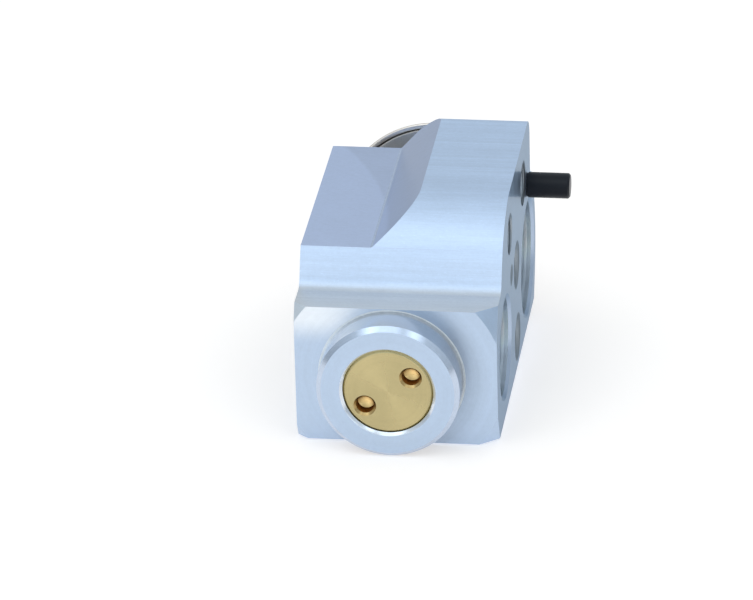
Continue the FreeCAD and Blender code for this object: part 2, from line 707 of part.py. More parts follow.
def make_rods():
    """The thin push rod, the sensing rod above it and the sleeve that slows its response."""
    push_rod_end = rod_start + s.push_rod_bury
    turned("push_rod",
           [(zero, ball_centre + s.ball_radius), (s.push_rod_radius, ball_centre + s.ball_radius),
            (s.push_rod_radius, push_rod_end), (zero, push_rod_end)])
    turned("sensing_rod",
           [(s.push_rod_radius, rod_start), (s.rod_radius - s.rod_taper, rod_start),
            (s.rod_radius, rod_start + s.rod_taper), (s.rod_radius, rod_end), (zero, rod_end),
            (zero, push_rod_end), (s.push_rod_radius, push_rod_end)])
    sleeve_radius = s.rod_radius + s.sleeve_wall
    start, end = suction_line - s.sleeve_half_length, suction_line + s.sleeve_half_length
    turned("rod_sleeve", [(s.rod_radius, start), (sleeve_radius, start), (sleeve_radius, end),
                          (s.rod_radius, end)])


def make_rod_seal():
    """Seal ring, washer and toothed retainer in the counterbore under the suction passage."""
    ring = (s.seal_bore_radius - guide_radius) / 2
    seal_ring("rod_seal_o_ring", guide_radius + ring, ring, seal_bore_start + ring)
    inside = s.rod_radius + s.seal_washer_play
    washer_start = seal_bore_start + ring * 2
    washer_end = washer_start + s.seal_washer_thickness
    turned("rod_seal_washer", [(inside, washer_start), (s.seal_bore_radius, washer_start),
                               (s.seal_bore_radius, washer_end), (inside, washer_end)])
    retainer_end = washer_end + s.retainer_thickness
    body = turned("rod_seal_retainer",
                  [(inside, washer_end), (s.seal_bore_radius, washer_end),
                   (s.seal_bore_radius, retainer_end), (inside, retainer_end)])
    sketch = new_sketch(body, "slot_plan", "XZ_Plane", across=s.axis_inset,
                        out=-from_near(retainer_end))
    half = s.retainer_slot_width / 2
    outline(sketch, [(zero, -half), (inside + s.retainer_slot_length, -half),
                     (inside + s.retainer_slot_length, half), (zero, half)])
    before = volume_of(body)
    slot = body.newObject("PartDesign::Pocket", "slot")
    slot.Profile = sketch
    slot.SideType = "Symmetric"
    bind(slot, "Length", s.retainer_thickness * 4)
    finish(slot, body)
    cut_is_real(body, before, "slot")
    pattern = body.newObject("PartDesign::PolarPattern", "slots")
    pattern.Originals = [slot]
    pattern.Axis = (doc.getObject("rod_seal_retainer_turning_section"), ["V_Axis"])
    pattern.Angle = 360
    pattern.Occurrences = int(s.retainer_slots.value)
    finish(pattern, body)


def make_head():
    """The power head: two stamped housings, the diaphragm between them, its pad and seal."""
    gauge = s.sheet_gauge
    neck_inside = head_neck_radius - gauge
    hub_inside = s.hub_radius - gauge
    flange_edge = s.flange_radius - s.flange_chamfer
    turned("head_lower_housing",
           [(neck_inside, head_neck_end), (head_neck_radius, head_neck_end),
            (head_neck_radius, far_face), (s.hub_radius, far_face),
            (s.hub_radius, flange_face), (flange_edge, flange_face),
            (s.flange_radius, flange_face + s.flange_chamfer), (s.flange_radius, clamp_face),
            (hub_inside, clamp_face), (hub_inside, far_face + gauge),
            (neck_inside, far_face + gauge)])
    skirt_inside = s.flange_radius + s.rim_play
    rim_radius = skirt_inside + s.rim_wall
    skirt_end = flange_face - s.rim_overlap
    clamp_top = clamp_face + s.diaphragm_thickness
    dome_inside = clamp_top + s.dome_rise
    dome_top = dome_inside + s.dome_gauge
    shoulder = clamp_top + s.dome_gauge
    clamp_radius = s.flange_radius - s.clamp_width
    dome_flat_radius = clamp_radius - s.dome_shoulder
    body = turned("head_upper_housing",
                  [(skirt_inside, skirt_end), (rim_radius, skirt_end), (rim_radius, shoulder),
                   (clamp_radius + s.dome_gauge, shoulder),
                   (dome_flat_radius + s.dome_gauge / 2, dome_top),
                   (s.filler_hole_radius, dome_top), (s.filler_hole_radius, dome_inside),
                   (dome_flat_radius, dome_inside), (clamp_radius, clamp_top),
                   (skirt_inside, clamp_top)])
    rounded(body, "rim_round", s.rim_round, is_ring(rim_radius, from_near(skirt_end)))
    rounded(body, "shoulder_round", s.rim_round * 2, is_ring(rim_radius, from_near(shoulder)))
    turned("diaphragm", [(zero, clamp_face), (s.flange_radius, clamp_face),
                         (s.flange_radius, clamp_top), (zero, clamp_top)])
    pad_radius = hub_inside - s.pad_play
    stop_face = far_face + gauge + s.stop_gap
    hub_end = pad_inner_face - s.pad_hub_length
    turned("pressure_pad",
           [(zero, pad_face), (pad_radius, pad_face), (pad_radius, stop_face),
            (pad_radius - s.pad_gauge, stop_face), (pad_radius - s.pad_gauge, pad_inner_face),
            (s.pad_hub_radius, pad_inner_face), (s.pad_hub_radius, hub_end),
            (s.rod_radius, hub_end), (s.rod_radius, rod_end), (zero, rod_end)])
    seal_ring("head_o_ring", head_neck_radius + s.head_ring_section, s.head_ring_section,
              far_face - s.head_ring_section)
    turned("filler_plug",
           [(zero, dome_inside), (s.filler_hole_radius, dome_inside),
            (s.filler_hole_radius, dome_top), (s.filler_radius, dome_top),
            (s.filler_radius, dome_top + s.filler_height / 2),
            (s.filler_radius - s.filler_height / 2, dome_top + s.filler_height),
            (zero, dome_top + s.filler_height)])


def export(folder):
    """Checks every object and every piece, then writes each piece to its own file."""
    doc.recompute()
    for item in doc.Objects:
        if "Invalid" in item.State or "Error" in item.State:
            raise RuntimeError(f"{item.Label} is in state {item.State}")
    os.makedirs(folder, exist_ok=True)
    for node in nodes:
        shape = node.Shape
        if shape.isNull() or not shape.isValid() or not shape.Solids:
            raise RuntimeError(f"{node.Label} has no valid solid")
    for node in nodes:
        node.Shape.exportStep(os.path.join(folder, f"{node.Label}.step"))
        print(f"{node.Label}: {len(node.Shape.Solids)} solid, {node.Shape.Volume:.2f} mm3")


make_valve_block()
make_locating_pin()
make_adjusting_plug()
make_adjusting_plug_ring()
make_bias_spring()
make_ball_carrier()
make_valve_ball()
make_damping_spring()
make_rods()
make_rod_seal()
make_head()
export("parts")
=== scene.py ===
# %% [markdown]
# # A block-type expansion valve
#
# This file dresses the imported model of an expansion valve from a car's air conditioning: a sawn
# and turned aluminium block, a brass adjusting plug, a stamped power head and the small valve
# train between them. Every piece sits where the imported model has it. Blender counts in metres, so
# a size in millimetres is written as a number times MM.

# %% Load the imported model
import json
import math

import bpy
from mathutils import Matrix, Vector

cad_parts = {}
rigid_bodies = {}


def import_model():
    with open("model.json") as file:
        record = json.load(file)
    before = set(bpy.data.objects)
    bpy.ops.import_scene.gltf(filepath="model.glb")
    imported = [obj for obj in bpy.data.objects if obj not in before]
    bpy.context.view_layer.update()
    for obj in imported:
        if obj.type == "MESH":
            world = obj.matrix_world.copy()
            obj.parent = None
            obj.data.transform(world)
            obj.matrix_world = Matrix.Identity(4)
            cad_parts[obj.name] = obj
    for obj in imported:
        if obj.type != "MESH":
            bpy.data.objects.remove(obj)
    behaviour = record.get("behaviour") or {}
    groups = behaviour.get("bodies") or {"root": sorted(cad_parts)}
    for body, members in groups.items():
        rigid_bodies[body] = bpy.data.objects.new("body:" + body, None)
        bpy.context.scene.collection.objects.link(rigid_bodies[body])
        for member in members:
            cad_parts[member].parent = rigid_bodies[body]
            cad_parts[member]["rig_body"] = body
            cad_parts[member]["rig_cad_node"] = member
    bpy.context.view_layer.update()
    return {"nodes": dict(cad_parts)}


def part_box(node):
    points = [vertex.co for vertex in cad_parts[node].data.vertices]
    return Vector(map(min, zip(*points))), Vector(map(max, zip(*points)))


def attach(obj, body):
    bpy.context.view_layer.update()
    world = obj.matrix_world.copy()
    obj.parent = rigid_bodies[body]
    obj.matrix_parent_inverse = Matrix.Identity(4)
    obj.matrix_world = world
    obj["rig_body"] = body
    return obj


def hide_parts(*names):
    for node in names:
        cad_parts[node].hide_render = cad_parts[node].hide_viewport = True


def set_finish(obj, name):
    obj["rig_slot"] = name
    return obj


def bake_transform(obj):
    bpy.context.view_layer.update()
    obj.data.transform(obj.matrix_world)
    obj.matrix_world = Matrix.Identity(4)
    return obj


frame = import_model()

MM = 0.001
print("nodes:", ", ".join(sorted(frame["nodes"])))

# %% [markdown]
# ## Camera
#
# The photograph was taken from in front of the adjusting end, well above it and a little to the
# right, with a long lens from about a metre away. The camera is set up from those angles: yaw,
# pitch and roll turn it, and the lens is the one that frames the valve as it is framed there.

# %% Camera
CAMERA_PLACE = Vector((0.1554, -1.0155, 0.5005))
CAMERA_YAW = math.radians(8.10)
CAMERA_PITCH = math.radians(-26.05)
CAMERA_ROLL = math.radians(-1.55)
LENS = 284.75

camera_data = bpy.data.cameras.new("photo_camera")
camera_data.lens = LENS
camera_data.sensor_width = 36.0
camera_data.clip_start = 0.01
camera = bpy.data.objects.new("photo_camera", camera_data)
bpy.context.scene.collection.objects.link(camera)
camera.matrix_world = (Matrix.Translation(CAMERA_PLACE)
                       @ Matrix.Rotation(CAMERA_YAW, 4, "Z")
                       @ Matrix.Rotation(math.radians(90) + CAMERA_PITCH, 4, "X")
                       @ Matrix.Rotation(CAMERA_ROLL, 4, "Z"))
bpy.context.scene.camera = camera
print("camera:", round(CAMERA_PLACE.length, 2), "m from the origin, lens", LENS, "mm")

# %% [markdown]
# ## Places on the valve
#
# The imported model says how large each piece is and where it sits, so the main places are read
# from it. The valve axis runs along Y. The holes in the two port faces run along X, and each is
# given by its place on the face, as (Y, Z), and the radius of its mouth.

# %% Places
block_low, block_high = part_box("valve_block")
plug_low, plug_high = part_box("adjusting_plug")
AXIS_X = (plug_low.x + plug_high.x) / 2
PORT_FACES = (block_low.x, block_high.x)
BOSS_LENGTH = 6.6 * MM
NEAR_FACE = block_low.y + BOSS_LENGTH
FAR_FACE = block_high.y
BOSS_RADIUS = 13.44 * MM
MOUTH_RADIUS = 9.1 * MM
HEAD_BORE_RADIUS = 12.8 * MM
STEP_FLOOR = 21.0 * MM
STEP_FOOT = 13.4 * MM
TAP_RADIUS = 3.4 * MM
NEAR_TAP = (-10.3 * MM, 19.0 * MM)
FAR_TAP = (12.8 * MM, 18.8 * MM)
HOLES = {
    "liquid_inlet": (-19.9 * MM, 0.0, 10.3 * MM),
    "evaporator_feed": (-11.4 * MM, 0.0, 8.5 * MM),
    "suction_passage": (19.1 * MM, 0.0, 11.9 * MM),
    "upper_fixing_hole": (0.0, 7.6 * MM, 4.8 * MM),
    "lower_fixing_hole": (0.0, -7.6 * MM, 4.8 * MM),
    "near_tapped_hole": (*NEAR_TAP, 4.1 * MM),
    "far_tapped_hole": (*FAR_TAP, 4.5 * MM),
    "spot_mark": (-8.5 * MM, 9.6 * MM, 2.15 * MM),
    "pin_seat": (19.6 * MM, 15.4 * MM, 2.35 * MM),
}
print("valve axis at x =", round(AXIS_X / MM, 2), "mm, holes:", len(HOLES))

# %% [markdown]
# ## Modelling helpers
#
# An operator acts on everything that is selected, so each step starts with a clean selection.
# Real edges are never knife sharp, and only a rounded edge catches the light as a thin bright
# line. So every rigid piece gets a fine bevel or rounded corners. Its normals are weighted by
# area afterwards, which keeps the flat faces flat to the eye right up to the rounding.

# %% Selection and modifiers
MERGE_DISTANCE = 0.0005 * MM
SAME_PLANE = math.radians(0.4)
SHARP_EDGE = math.radians(32)


def deselect():
    """Leaves edit mode and selects nothing."""
    if bpy.context.object and bpy.context.object.mode != "OBJECT":
        bpy.ops.object.mode_set(mode="OBJECT")
    bpy.ops.object.select_all(action="DESELECT")


def only(piece):
    """Makes one object the selected and the active one, in object mode."""
    deselect()
    piece.select_set(True)
    bpy.context.view_layer.objects.active = piece


def edit(piece):
    """Opens a piece in edit mode with all of it selected."""
    only(piece)
    bpy.ops.object.mode_set(mode="EDIT")
    bpy.ops.mesh.select_mode(type="VERT")
    bpy.ops.mesh.select_all(action="SELECT")


def leave():
    bpy.ops.object.mode_set(mode="OBJECT")


def modify(piece, kind, **settings):
    """Adds a modifier, sets it up and applies it at once."""
    only(piece)
    modifier = piece.modifiers.new(kind.lower(), kind)
    for name, value in settings.items():
        setattr(modifier, name, value)
    bpy.ops.object.modifier_apply(modifier=modifier.name)


def break_edges(piece, width):
    """Rounds every sharp edge of a piece."""
    modify(piece, "BEVEL", width=width, segments=2, limit_method="ANGLE",
           angle_limit=SHARP_EDGE, use_clamp_overlap=True)


def smooth(piece, angle):
    """Smooth shading with normals weighted by area, so that flat faces stay flat."""
    only(piece)
    bpy.ops.object.shade_smooth_by_angle(angle=math.radians(angle))
    modify(piece, "WEIGHTED_NORMAL", keep_sharp=True, weight=100)


def merged_copy(node, name):
    """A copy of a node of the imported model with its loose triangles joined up."""
    piece = frame["nodes"][node].copy()
    piece.data = piece.data.copy()
    piece.name = name
    piece.data.name = name
    piece.parent = None
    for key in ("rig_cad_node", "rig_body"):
        del piece[key]
    bpy.context.scene.collection.objects.link(piece)
    edit(piece)
    bpy.ops.mesh.remove_doubles(threshold=MERGE_DISTANCE)
    bpy.ops.mesh.dissolve_limited(angle_limit=SAME_PLANE)
    leave()
    return piece


def settle(piece, node, slot, body=None):
    """Puts a piece in a node's stead: it rides on the node's body and takes its slot."""
    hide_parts(node)
    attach(piece, body or frame["nodes"][node]["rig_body"])
    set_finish(piece, slot)
    print(f"{piece.name}: {len(piece.data.polygons)} faces")


print("edges over", round(math.degrees(SHARP_EDGE)), "degrees can be broken")

# %% [markdown]
# ## Turned pieces
#
# A turned piece is drawn as the half section that the lathe tool follows, as corners of radius
# and place along the axis. A corner may carry a third number, the radius that rounds it. The
# line is extruded from point to point and then spun once round the axis. A spin can leave the
# shell inside out, so doubles are merged and the normals recalculated.

# %% Lathe
ARC_STEPS = 5


def rounded_line(corners):
    """The points of a section, with an arc in place of each corner that has a radius."""
    points = [Vector(corner[:2]) for corner in corners]
    line = []
    for index, corner in enumerate(corners):
        point = points[index]
        if len(corner) < 3:
            line.append(point)
            continue
        to_last = (points[index - 1] - point).normalized()
        to_next = (points[(index + 1) % len(points)] - point).normalized()
        half = to_last.angle(to_next) / 2
        centre = point + (to_last + to_next).normalized() * (corner[2] / math.sin(half))
        start = point + to_last * (corner[2] / math.tan(half)) - centre
        end = point + to_next * (corner[2] / math.tan(half)) - centre
        for step in range(ARC_STEPS + 1):
            line.append(centre + start.slerp(end, step / ARC_STEPS) * corner[2])
    return line


def lathe(name, corners, steps=128, along="Y", centre=(AXIS_X, 0.0)):
    """Spins a closed or axis-to-axis section once round an axis along Y, or along X."""
    line = rounded_line(corners)
    closed = min(corners[0][0], corners[-1][0]) > 0
    if closed:
        line.append(line[0])

    def place(point):
        radius, distance = point
        if along == "Y":
            return Vector((centre[0] + radius, distance, centre[1]))
        return Vector((distance, centre[0] + radius, centre[1]))

    deselect()
    bpy.ops.mesh.primitive_plane_add(size=MM, location=(0, 0, 0))
    piece = bpy.context.object
    piece.name = name
    piece.data.name = name
    edit(piece)
    bpy.ops.mesh.merge(type="CENTER")
    bpy.ops.transform.translate(value=place(line[0]))
    for before, after in zip(line, line[1:]):
        step = place(after) - place(before)
        bpy.ops.mesh.extrude_vertices_move(TRANSFORM_OT_translate={"value": step})
    bpy.ops.mesh.select_all(action="SELECT")
    middle = place(Vector((0.0, 0.0)))
    bpy.ops.mesh.spin(steps=steps, angle=math.tau, center=middle,
                      axis=(0, 1, 0) if along == "Y" else (1, 0, 0))
    bpy.ops.mesh.select_all(action="SELECT")
    bpy.ops.mesh.remove_doubles(threshold=MERGE_DISTANCE)
    bpy.ops.mesh.normals_make_consistent(inside=False)
    leave()
    return piece


print("a rounded corner has", ARC_STEPS, "steps")

# %% [markdown]
# ## Threads and coils
#
# A screw thread is cut as on the bench: a triangle, standing in a plane with the axis, is swept
# along a helix by the Screw modifier and taken out of the piece with a boolean. Its sides lean at
# sixty degrees, so a three-sided circle is already the right tool. The same sweep with a round
# section winds the coil spring.

# %% Helix
HELIX_STEPS = 40


def helix(name, sides, section, reach, start, rise, turns, steps=HELIX_STEPS, axis="Y",
          centre=(AXIS_X, 0.0, 0.0), point_out=True, begin=0.0):
    """Sweeps a small circle along a helix; reach is its distance from the axis."""
    deselect()
    bpy.ops.mesh.primitive_circle_add(vertices=sides, radius=section, location=(0, 0, 0))
    piece = bpy.context.object
    piece.name = name
    piece.data.name = name
    lean = -90 if axis == "Y" else 0
    if not point_out:
        lean += 180
    turn = Matrix.Rotation(math.radians(lean), 4, "Z")
    shift = Vector((reach, start, 0) if axis == "Y" else (start, reach, 0))
    piece.data.transform(Matrix.Rotation(begin, 4, axis) @ Matrix.Translation(shift) @ turn)
    modify(piece, "SCREW", axis=axis, angle=math.tau * turns, screw_offset=rise,
           steps=round(steps * turns), render_steps=round(steps * turns), iterations=1,
           use_merge_vertices=False)
    edit(piece)
    bpy.ops.mesh.fill_holes(sides=sides)
    bpy.ops.mesh.select_all(action="SELECT")
    bpy.ops.mesh.normals_make_consistent(inside=False)
    bpy.ops.transform.translate(value=centre)
    leave()
    return piece


def cut_away(piece, tool):
    """Takes the tool's shape out of a piece and throws the tool away."""
    modify(piece, "BOOLEAN", operation="DIFFERENCE", solver="EXACT", object=tool)
    bpy.data.objects.remove(tool)


print("a helix has", HELIX_STEPS, "steps a turn")

# %% [markdown]
# ## The block
#
# The block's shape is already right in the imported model: a sawn length of extrusion, turned at
# both ends, milled and bored. A merged copy gets its edges broken, and then the threads are
# tapped into the two blind holes of the pipe face.

# %% The block
BROKEN_EDGE = 0.12 * MM
TAP_PITCH = 1.25 * MM
TAP_TOOTH = 0.72 * MM
TAP_OVERLAP = 0.1 * MM
TAP_DEPTH = 13.0 * MM


def tap(piece, hole):
    """Cuts the thread of a blind tapped hole, from its mouth in the pipe face inwards."""
    tool = helix("tap_tool", 3, TAP_TOOTH * 2 / 3, TAP_RADIUS - TAP_OVERLAP + TAP_TOOTH / 3,
                 PORT_FACES[1] + TAP_PITCH / 2, -TAP_DEPTH, TAP_DEPTH / TAP_PITCH, axis="X",
                 centre=(0.0, *hole))
    cut_away(piece, tool)


block = merged_copy("valve_block", "block")
break_edges(block, BROKEN_EDGE)
tap(block, NEAR_TAP)
tap(block, FAR_TAP)
smooth(block, angle=40)
settle(block, "valve_block", "block_aluminium")

# %% [markdown]
# ## The adjusting plug
#
# The brass plug is turned, so it is spun from its section: a flat face with a small broken edge,
# a fine thread, the groove of its seal ring and the pocket of the spring. A two-legged spanner
# turns it, in two blind holes that are drilled and countersunk. Their cutter is a turned piece
# too, taken out of the plug twice, half a turn apart.

# %% The adjusting plug
PLUG_RADIUS = (plug_high.x - plug_low.x) / 2
PLUG_FACE = plug_low.y
THREAD_END = NEAR_FACE + 1.0 * MM
NOSE_RADIUS = 7.1 * MM
RING_GROOVE = (NEAR_FACE + 3.8 * MM, NEAR_FACE + 5.4 * MM)
RING_GROOVE_RADIUS = 5.6 * MM
POCKET_RADIUS = 4.75 * MM
POCKET_FLOOR = NEAR_FACE + 1.0 * MM
PLUG_CHAMFER = 0.35 * MM

plug = lathe("plug", [
    (0.0, PLUG_FACE),
    (PLUG_RADIUS - PLUG_CHAMFER, PLUG_FACE, 0.12 * MM),
    (PLUG_RADIUS, PLUG_FACE + PLUG_CHAMFER, 0.12 * MM),
    (PLUG_RADIUS, THREAD_END, 0.1 * MM),
    (NOSE_RADIUS, THREAD_END),
    (NOSE_RADIUS, RING_GROOVE[0], 0.08 * MM),
    (RING_GROOVE_RADIUS, RING_GROOVE[0], 0.15 * MM),
    (RING_GROOVE_RADIUS, RING_GROOVE[1], 0.15 * MM),
    (NOSE_RADIUS, RING_GROOVE[1], 0.08 * MM),
    (NOSE_RADIUS, plug_high.y, 0.25 * MM),
    (POCKET_RADIUS, plug_high.y, 0.15 * MM),
    (POCKET_RADIUS, POCKET_FLOOR, 0.2 * MM),
    (0.0, POCKET_FLOOR),
])
print("plug turned:", len(plug.data.polygons), "faces")

# %% The plug's spanner holes and thread
SPANNER_HOLES = ((4.35 * MM, 3.03 * MM), (-4.35 * MM, -3.03 * MM))
DRILL_RADIUS = 1.68 * MM
DRILL_DEPTH = 2.5 * MM
DRILL_TIP = 3.4 * MM
SINK_RADIUS = 2.15 * MM
SINK_DEPTH = 0.47 * MM
CUTTER_RADIUS = 2.6 * MM
CUTTER_TOP = PLUG_FACE - 1.0 * MM
PLUG_PITCH = 1.0 * MM
PLUG_TURNS = 7
PLUG_TOOTH = 0.36 * MM
PLUG_THREAD_REACH = PLUG_RADIUS - 0.08 * MM
PLUG_THREAD_START = PLUG_FACE + 0.9 * MM

for across, rise in SPANNER_HOLES:
    drill = lathe("spanner_drill", [
        (0.0, CUTTER_TOP),
        (CUTTER_RADIUS, CUTTER_TOP),
        (SINK_RADIUS, PLUG_FACE - 0.02 * MM),
        (DRILL_RADIUS, PLUG_FACE + SINK_DEPTH, 0.1 * MM),
        (DRILL_RADIUS, PLUG_FACE + DRILL_DEPTH, 0.12 * MM),
        (0.0, PLUG_FACE + DRILL_TIP),
    ], steps=48, centre=(AXIS_X + across, rise))
    cut_away(plug, drill)
plug_die = helix("plug_die", 3, PLUG_TOOTH, PLUG_THREAD_REACH, PLUG_THREAD_START,
                 PLUG_PITCH * PLUG_TURNS, PLUG_TURNS, steps=72, point_out=False)
cut_away(plug, plug_die)
smooth(plug, angle=35)
settle(plug, "adjusting_plug", "plug_brass")

# %% [markdown]
# ## The locating pin
#
# The pin in the pipe face is turned from steel: a thin shank that is pressed into the block and
# a stouter end with a small chamfer, which keys the pipe flange. It is spun round its own axis,
# which runs along X.

# %% The locating pin
pin_low, pin_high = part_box("locating_pin")
PIN_RADIUS = (pin_high.y - pin_low.y) / 2
PIN_SHANK = 2.3 * MM
PIN_SHOULDER = PORT_FACES[1] + 0.3 * MM
PIN_CHAMFER = 0.35 * MM

pin = lathe("pin", [
    (0.0, pin_low.x),
    (PIN_SHANK, pin_low.x, 0.3 * MM),
    (PIN_SHANK, PIN_SHOULDER),
    (PIN_RADIUS, PIN_SHOULDER, 0.1 * MM),
    (PIN_RADIUS, pin_high.x - PIN_CHAMFER, 0.12 * MM),
    (PIN_RADIUS - PIN_CHAMFER, pin_high.x, 0.12 * MM),
    (0.0, pin_high.x),
], steps=64, along="X", centre=((pin_low.y + pin_high.y) / 2, (pin_low.z + pin_high.z) / 2))
smooth(pin, angle=35)
settle(pin, "locating_pin", "pin_steel")

# %% [markdown]
# ## The power head
#
# Both housings of the head are drawn from stainless sheet, so their corners are soft and even.
# They are spun from sections with rounded corners. The upper one closes over the lower one's
# flange with a skirt, carries a shallow stamped ring, and its filling hole is closed by a small
# welded plug.

# %% The upper housing
upper_low, upper_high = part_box("head_upper_housing")
lower_low, lower_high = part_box("head_lower_housing")
RIM_RADIUS = (upper_high.x - upper_low.x) / 2
RIM_INSIDE = RIM_RADIUS - 0.9 * MM
RIM_BEAD = upper_low.y + 0.5 * MM
CLAMP_TOP = lower_high.y + 0.25 * MM
SHEET = 1.0 * MM
DOME_INSIDE = upper_high.y - SHEET
DOME_FLAT = 10.5 * MM
CLAMP_RADIUS = 15.2 * MM
FILLER_HOLE = 0.9 * MM
STAMPED_TOP = (4.0 * MM, 8.6 * MM)
STAMPED_FLOOR = (4.4 * MM, 8.2 * MM)
STAMP_DEPTH = 0.35 * MM

upper_housing = lathe("upper_housing", [
    (RIM_INSIDE, upper_low.y, 0.08 * MM),
    (RIM_RADIUS, upper_low.y, 0.3 * MM),
    (RIM_RADIUS, RIM_BEAD, 0.4 * MM),
    (RIM_RADIUS - 0.75 * MM, upper_low.y + 1.7 * MM, 1.0 * MM),
    (RIM_RADIUS - 1.7 * MM, CLAMP_TOP + SHEET, 0.5 * MM),
    (CLAMP_RADIUS + SHEET, CLAMP_TOP + SHEET, 0.9 * MM),
    (DOME_FLAT + SHEET / 2, upper_high.y, 1.6 * MM),
    (STAMPED_TOP[1], upper_high.y, 0.25 * MM),
    (STAMPED_FLOOR[1], upper_high.y - STAMP_DEPTH, 0.25 * MM),
    (STAMPED_FLOOR[0], upper_high.y - STAMP_DEPTH, 0.25 * MM),
    (STAMPED_TOP[0], upper_high.y, 0.25 * MM),
    (FILLER_HOLE, upper_high.y),
    (FILLER_HOLE, DOME_INSIDE),
    (DOME_FLAT, DOME_INSIDE, 1.2 * MM),
    (CLAMP_RADIUS, CLAMP_TOP, 0.6 * MM),
    (RIM_INSIDE, CLAMP_TOP, 0.6 * MM),
], steps=192)
smooth(upper_housing, angle=35)
settle(upper_housing, "head_upper_housing", "head_steel")

# %% The lower housing
GAUGE = 1.2 * MM
NECK_RADIUS = 10.45 * MM
HUB_RADIUS = 13.0 * MM
FLANGE_RADIUS = (lower_high.x - lower_low.x) / 2
FLANGE_FACE = lower_high.y - GAUGE

lower_housing = lathe("lower_housing", [
    (NECK_RADIUS - GAUGE, lower_low.y, 0.15 * MM),
    (NECK_RADIUS, lower_low.y, 0.3 * MM),
    (NECK_RADIUS, FAR_FACE),
    (HUB_RADIUS, FAR_FACE, 0.7 * MM),
    (HUB_RADIUS, FLANGE_FACE, 0.9 * MM),
    (FLANGE_RADIUS, FLANGE_FACE, 0.3 * MM),
    (FLANGE_RADIUS, lower_high.y, 0.1 * MM),
    (HUB_RADIUS - GAUGE, lower_high.y, 0.5 * MM),
    (HUB_RADIUS - GAUGE, FAR_FACE + GAUGE, 0.4 * MM),
    (NECK_RADIUS - GAUGE, FAR_FACE + GAUGE, 0.5 * MM),
], steps=192)
smooth(lower_housing, angle=35)
settle(lower_housing, "head_lower_housing", "head_steel")

# %% The filler plug
filler_low, filler_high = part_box("filler_plug")
FILLER_RADIUS = (filler_high.x - filler_low.x) / 2

filler = lathe("filler", [
    (0.0, filler_low.y),
    (FILLER_HOLE, filler_low.y, 0.1 * MM),
    (FILLER_HOLE, upper_high.y),
    (FILLER_RADIUS, upper_high.y),
    (FILLER_RADIUS, upper_high.y + 0.35 * MM, 0.2 * MM),
    (FILLER_RADIUS - 0.6 * MM, filler_high.y, 0.3 * MM),
    (0.0, filler_high.y),
], steps=48)
smooth(filler, angle=40)
settle(filler, "filler_plug", "inner_steel")

# %% [markdown]
# ## The diaphragm
#
# The diaphragm is a thin sheet with its rim clamped between the housings, and its middle lies on
# the pad. One pressed ring, where the sheet steps down, lets the middle move. The piece rides on
# the valve body as a whole.

# %% The diaphragm
sheet_low, sheet_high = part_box("diaphragm")
FOIL = 0.12 * MM
STEP_INSIDE = 12.4 * MM
STEP_OUTSIDE = 14.2 * MM
SHEET_RADIUS = FLANGE_RADIUS - 0.1 * MM

diaphragm = lathe("diaphragm_sheet", [
    (0.0, sheet_low.y + FOIL),
    (STEP_INSIDE, sheet_low.y + FOIL),
    (STEP_OUTSIDE, sheet_high.y),
    (SHEET_RADIUS, sheet_high.y),
    (SHEET_RADIUS, sheet_high.y - FOIL),
    (STEP_OUTSIDE, sheet_high.y - FOIL),
    (STEP_INSIDE, sheet_low.y),
    (0.0, sheet_low.y),
], steps=96)
smooth(diaphragm, angle=35)
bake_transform(diaphragm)
settle(diaphragm, "diaphragm", "head_steel", body="valve_body")

# %% [markdown]
# ## The bias spring
#
# The spring is wound from round wire, with a close coil at each end and open coils between. Its
# near end sits in the plug and its far end on the ball carrier, and both of them move. It is
# modelled as two halves that meet in the middle of the wire, and both halves ride on the valve
# body.

# %% The bias spring
spring_low, spring_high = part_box("bias_spring")
WIRE_RADIUS = 0.6 * MM
WIRE_SIDES = 20
COIL_RADIUS = 3.85 * MM
CLOSE_TURNS = 0.9
OPEN_TURNS = 1.35
CLOSE_RISE = 1.3 * MM
first_turn = spring_low.y + WIRE_RADIUS
spring_middle = (spring_low.y + spring_high.y) / 2
open_rise = spring_middle - first_turn - CLOSE_RISE


def wind(name, stretches, start, begin):
    """Winds stretches of (turns, rise) one after another and joins them into one wire."""
    parts = []
    for turns, rise in stretches:
        parts.append(helix(f"{name}_part", WIRE_SIDES, WIRE_RADIUS, COIL_RADIUS, start, rise,
                           turns, begin=begin))
        start += rise
        begin -= math.tau * turns
    coil = parts[0]
    coil.name = name
    coil.data.name = name
    only(coil)
    for part in parts[1:]:
        part.select_set(True)
    bpy.ops.object.join()
    smooth(coil, angle=60)
    return coil


near_coil = wind("spring_near_half", [(CLOSE_TURNS, CLOSE_RISE), (OPEN_TURNS, open_rise)],
                 first_turn, 0.0)
far_coil = wind("spring_far_half", [(OPEN_TURNS, open_rise), (CLOSE_TURNS, CLOSE_RISE)],
                spring_middle, -math.tau * (CLOSE_TURNS + OPEN_TURNS))
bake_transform(near_coil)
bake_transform(far_coil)
for coil in (near_coil, far_coil):
    settle(coil, "bias_spring", "spring_steel", body="valve_body")

# %% [markdown]
# ## The small inner pieces
#
# The rods, the ball and its carrier, the pad, the seals and the washers already have their true
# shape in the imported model. Each becomes a merged copy with its edges broken. The seal rings and
# the ball are round all over, so they only need smooth shading.

# %% The small inner pieces
TURNED_INSIDE = {
    "ball_carrier": "inner_steel",
    "push_rod": "inner_steel",
    "sensing_rod": "rod_aluminium",
    "pressure_pad": "rod_aluminium",
    "rod_sleeve": "sleeve_plastic",
    "rod_seal_washer": "sleeve_plastic",
    "rod_seal_retainer": "spring_steel",
    "damping_spring": "spring_steel",
}
ROUND_INSIDE = {
    "valve_ball": "inner_steel",
    "adjusting_plug_o_ring": "seal_rubber",
    "rod_seal_o_ring": "seal_rubber",
    "head_o_ring": "seal_rubber",
}
FINE_EDGE = 0.06 * MM

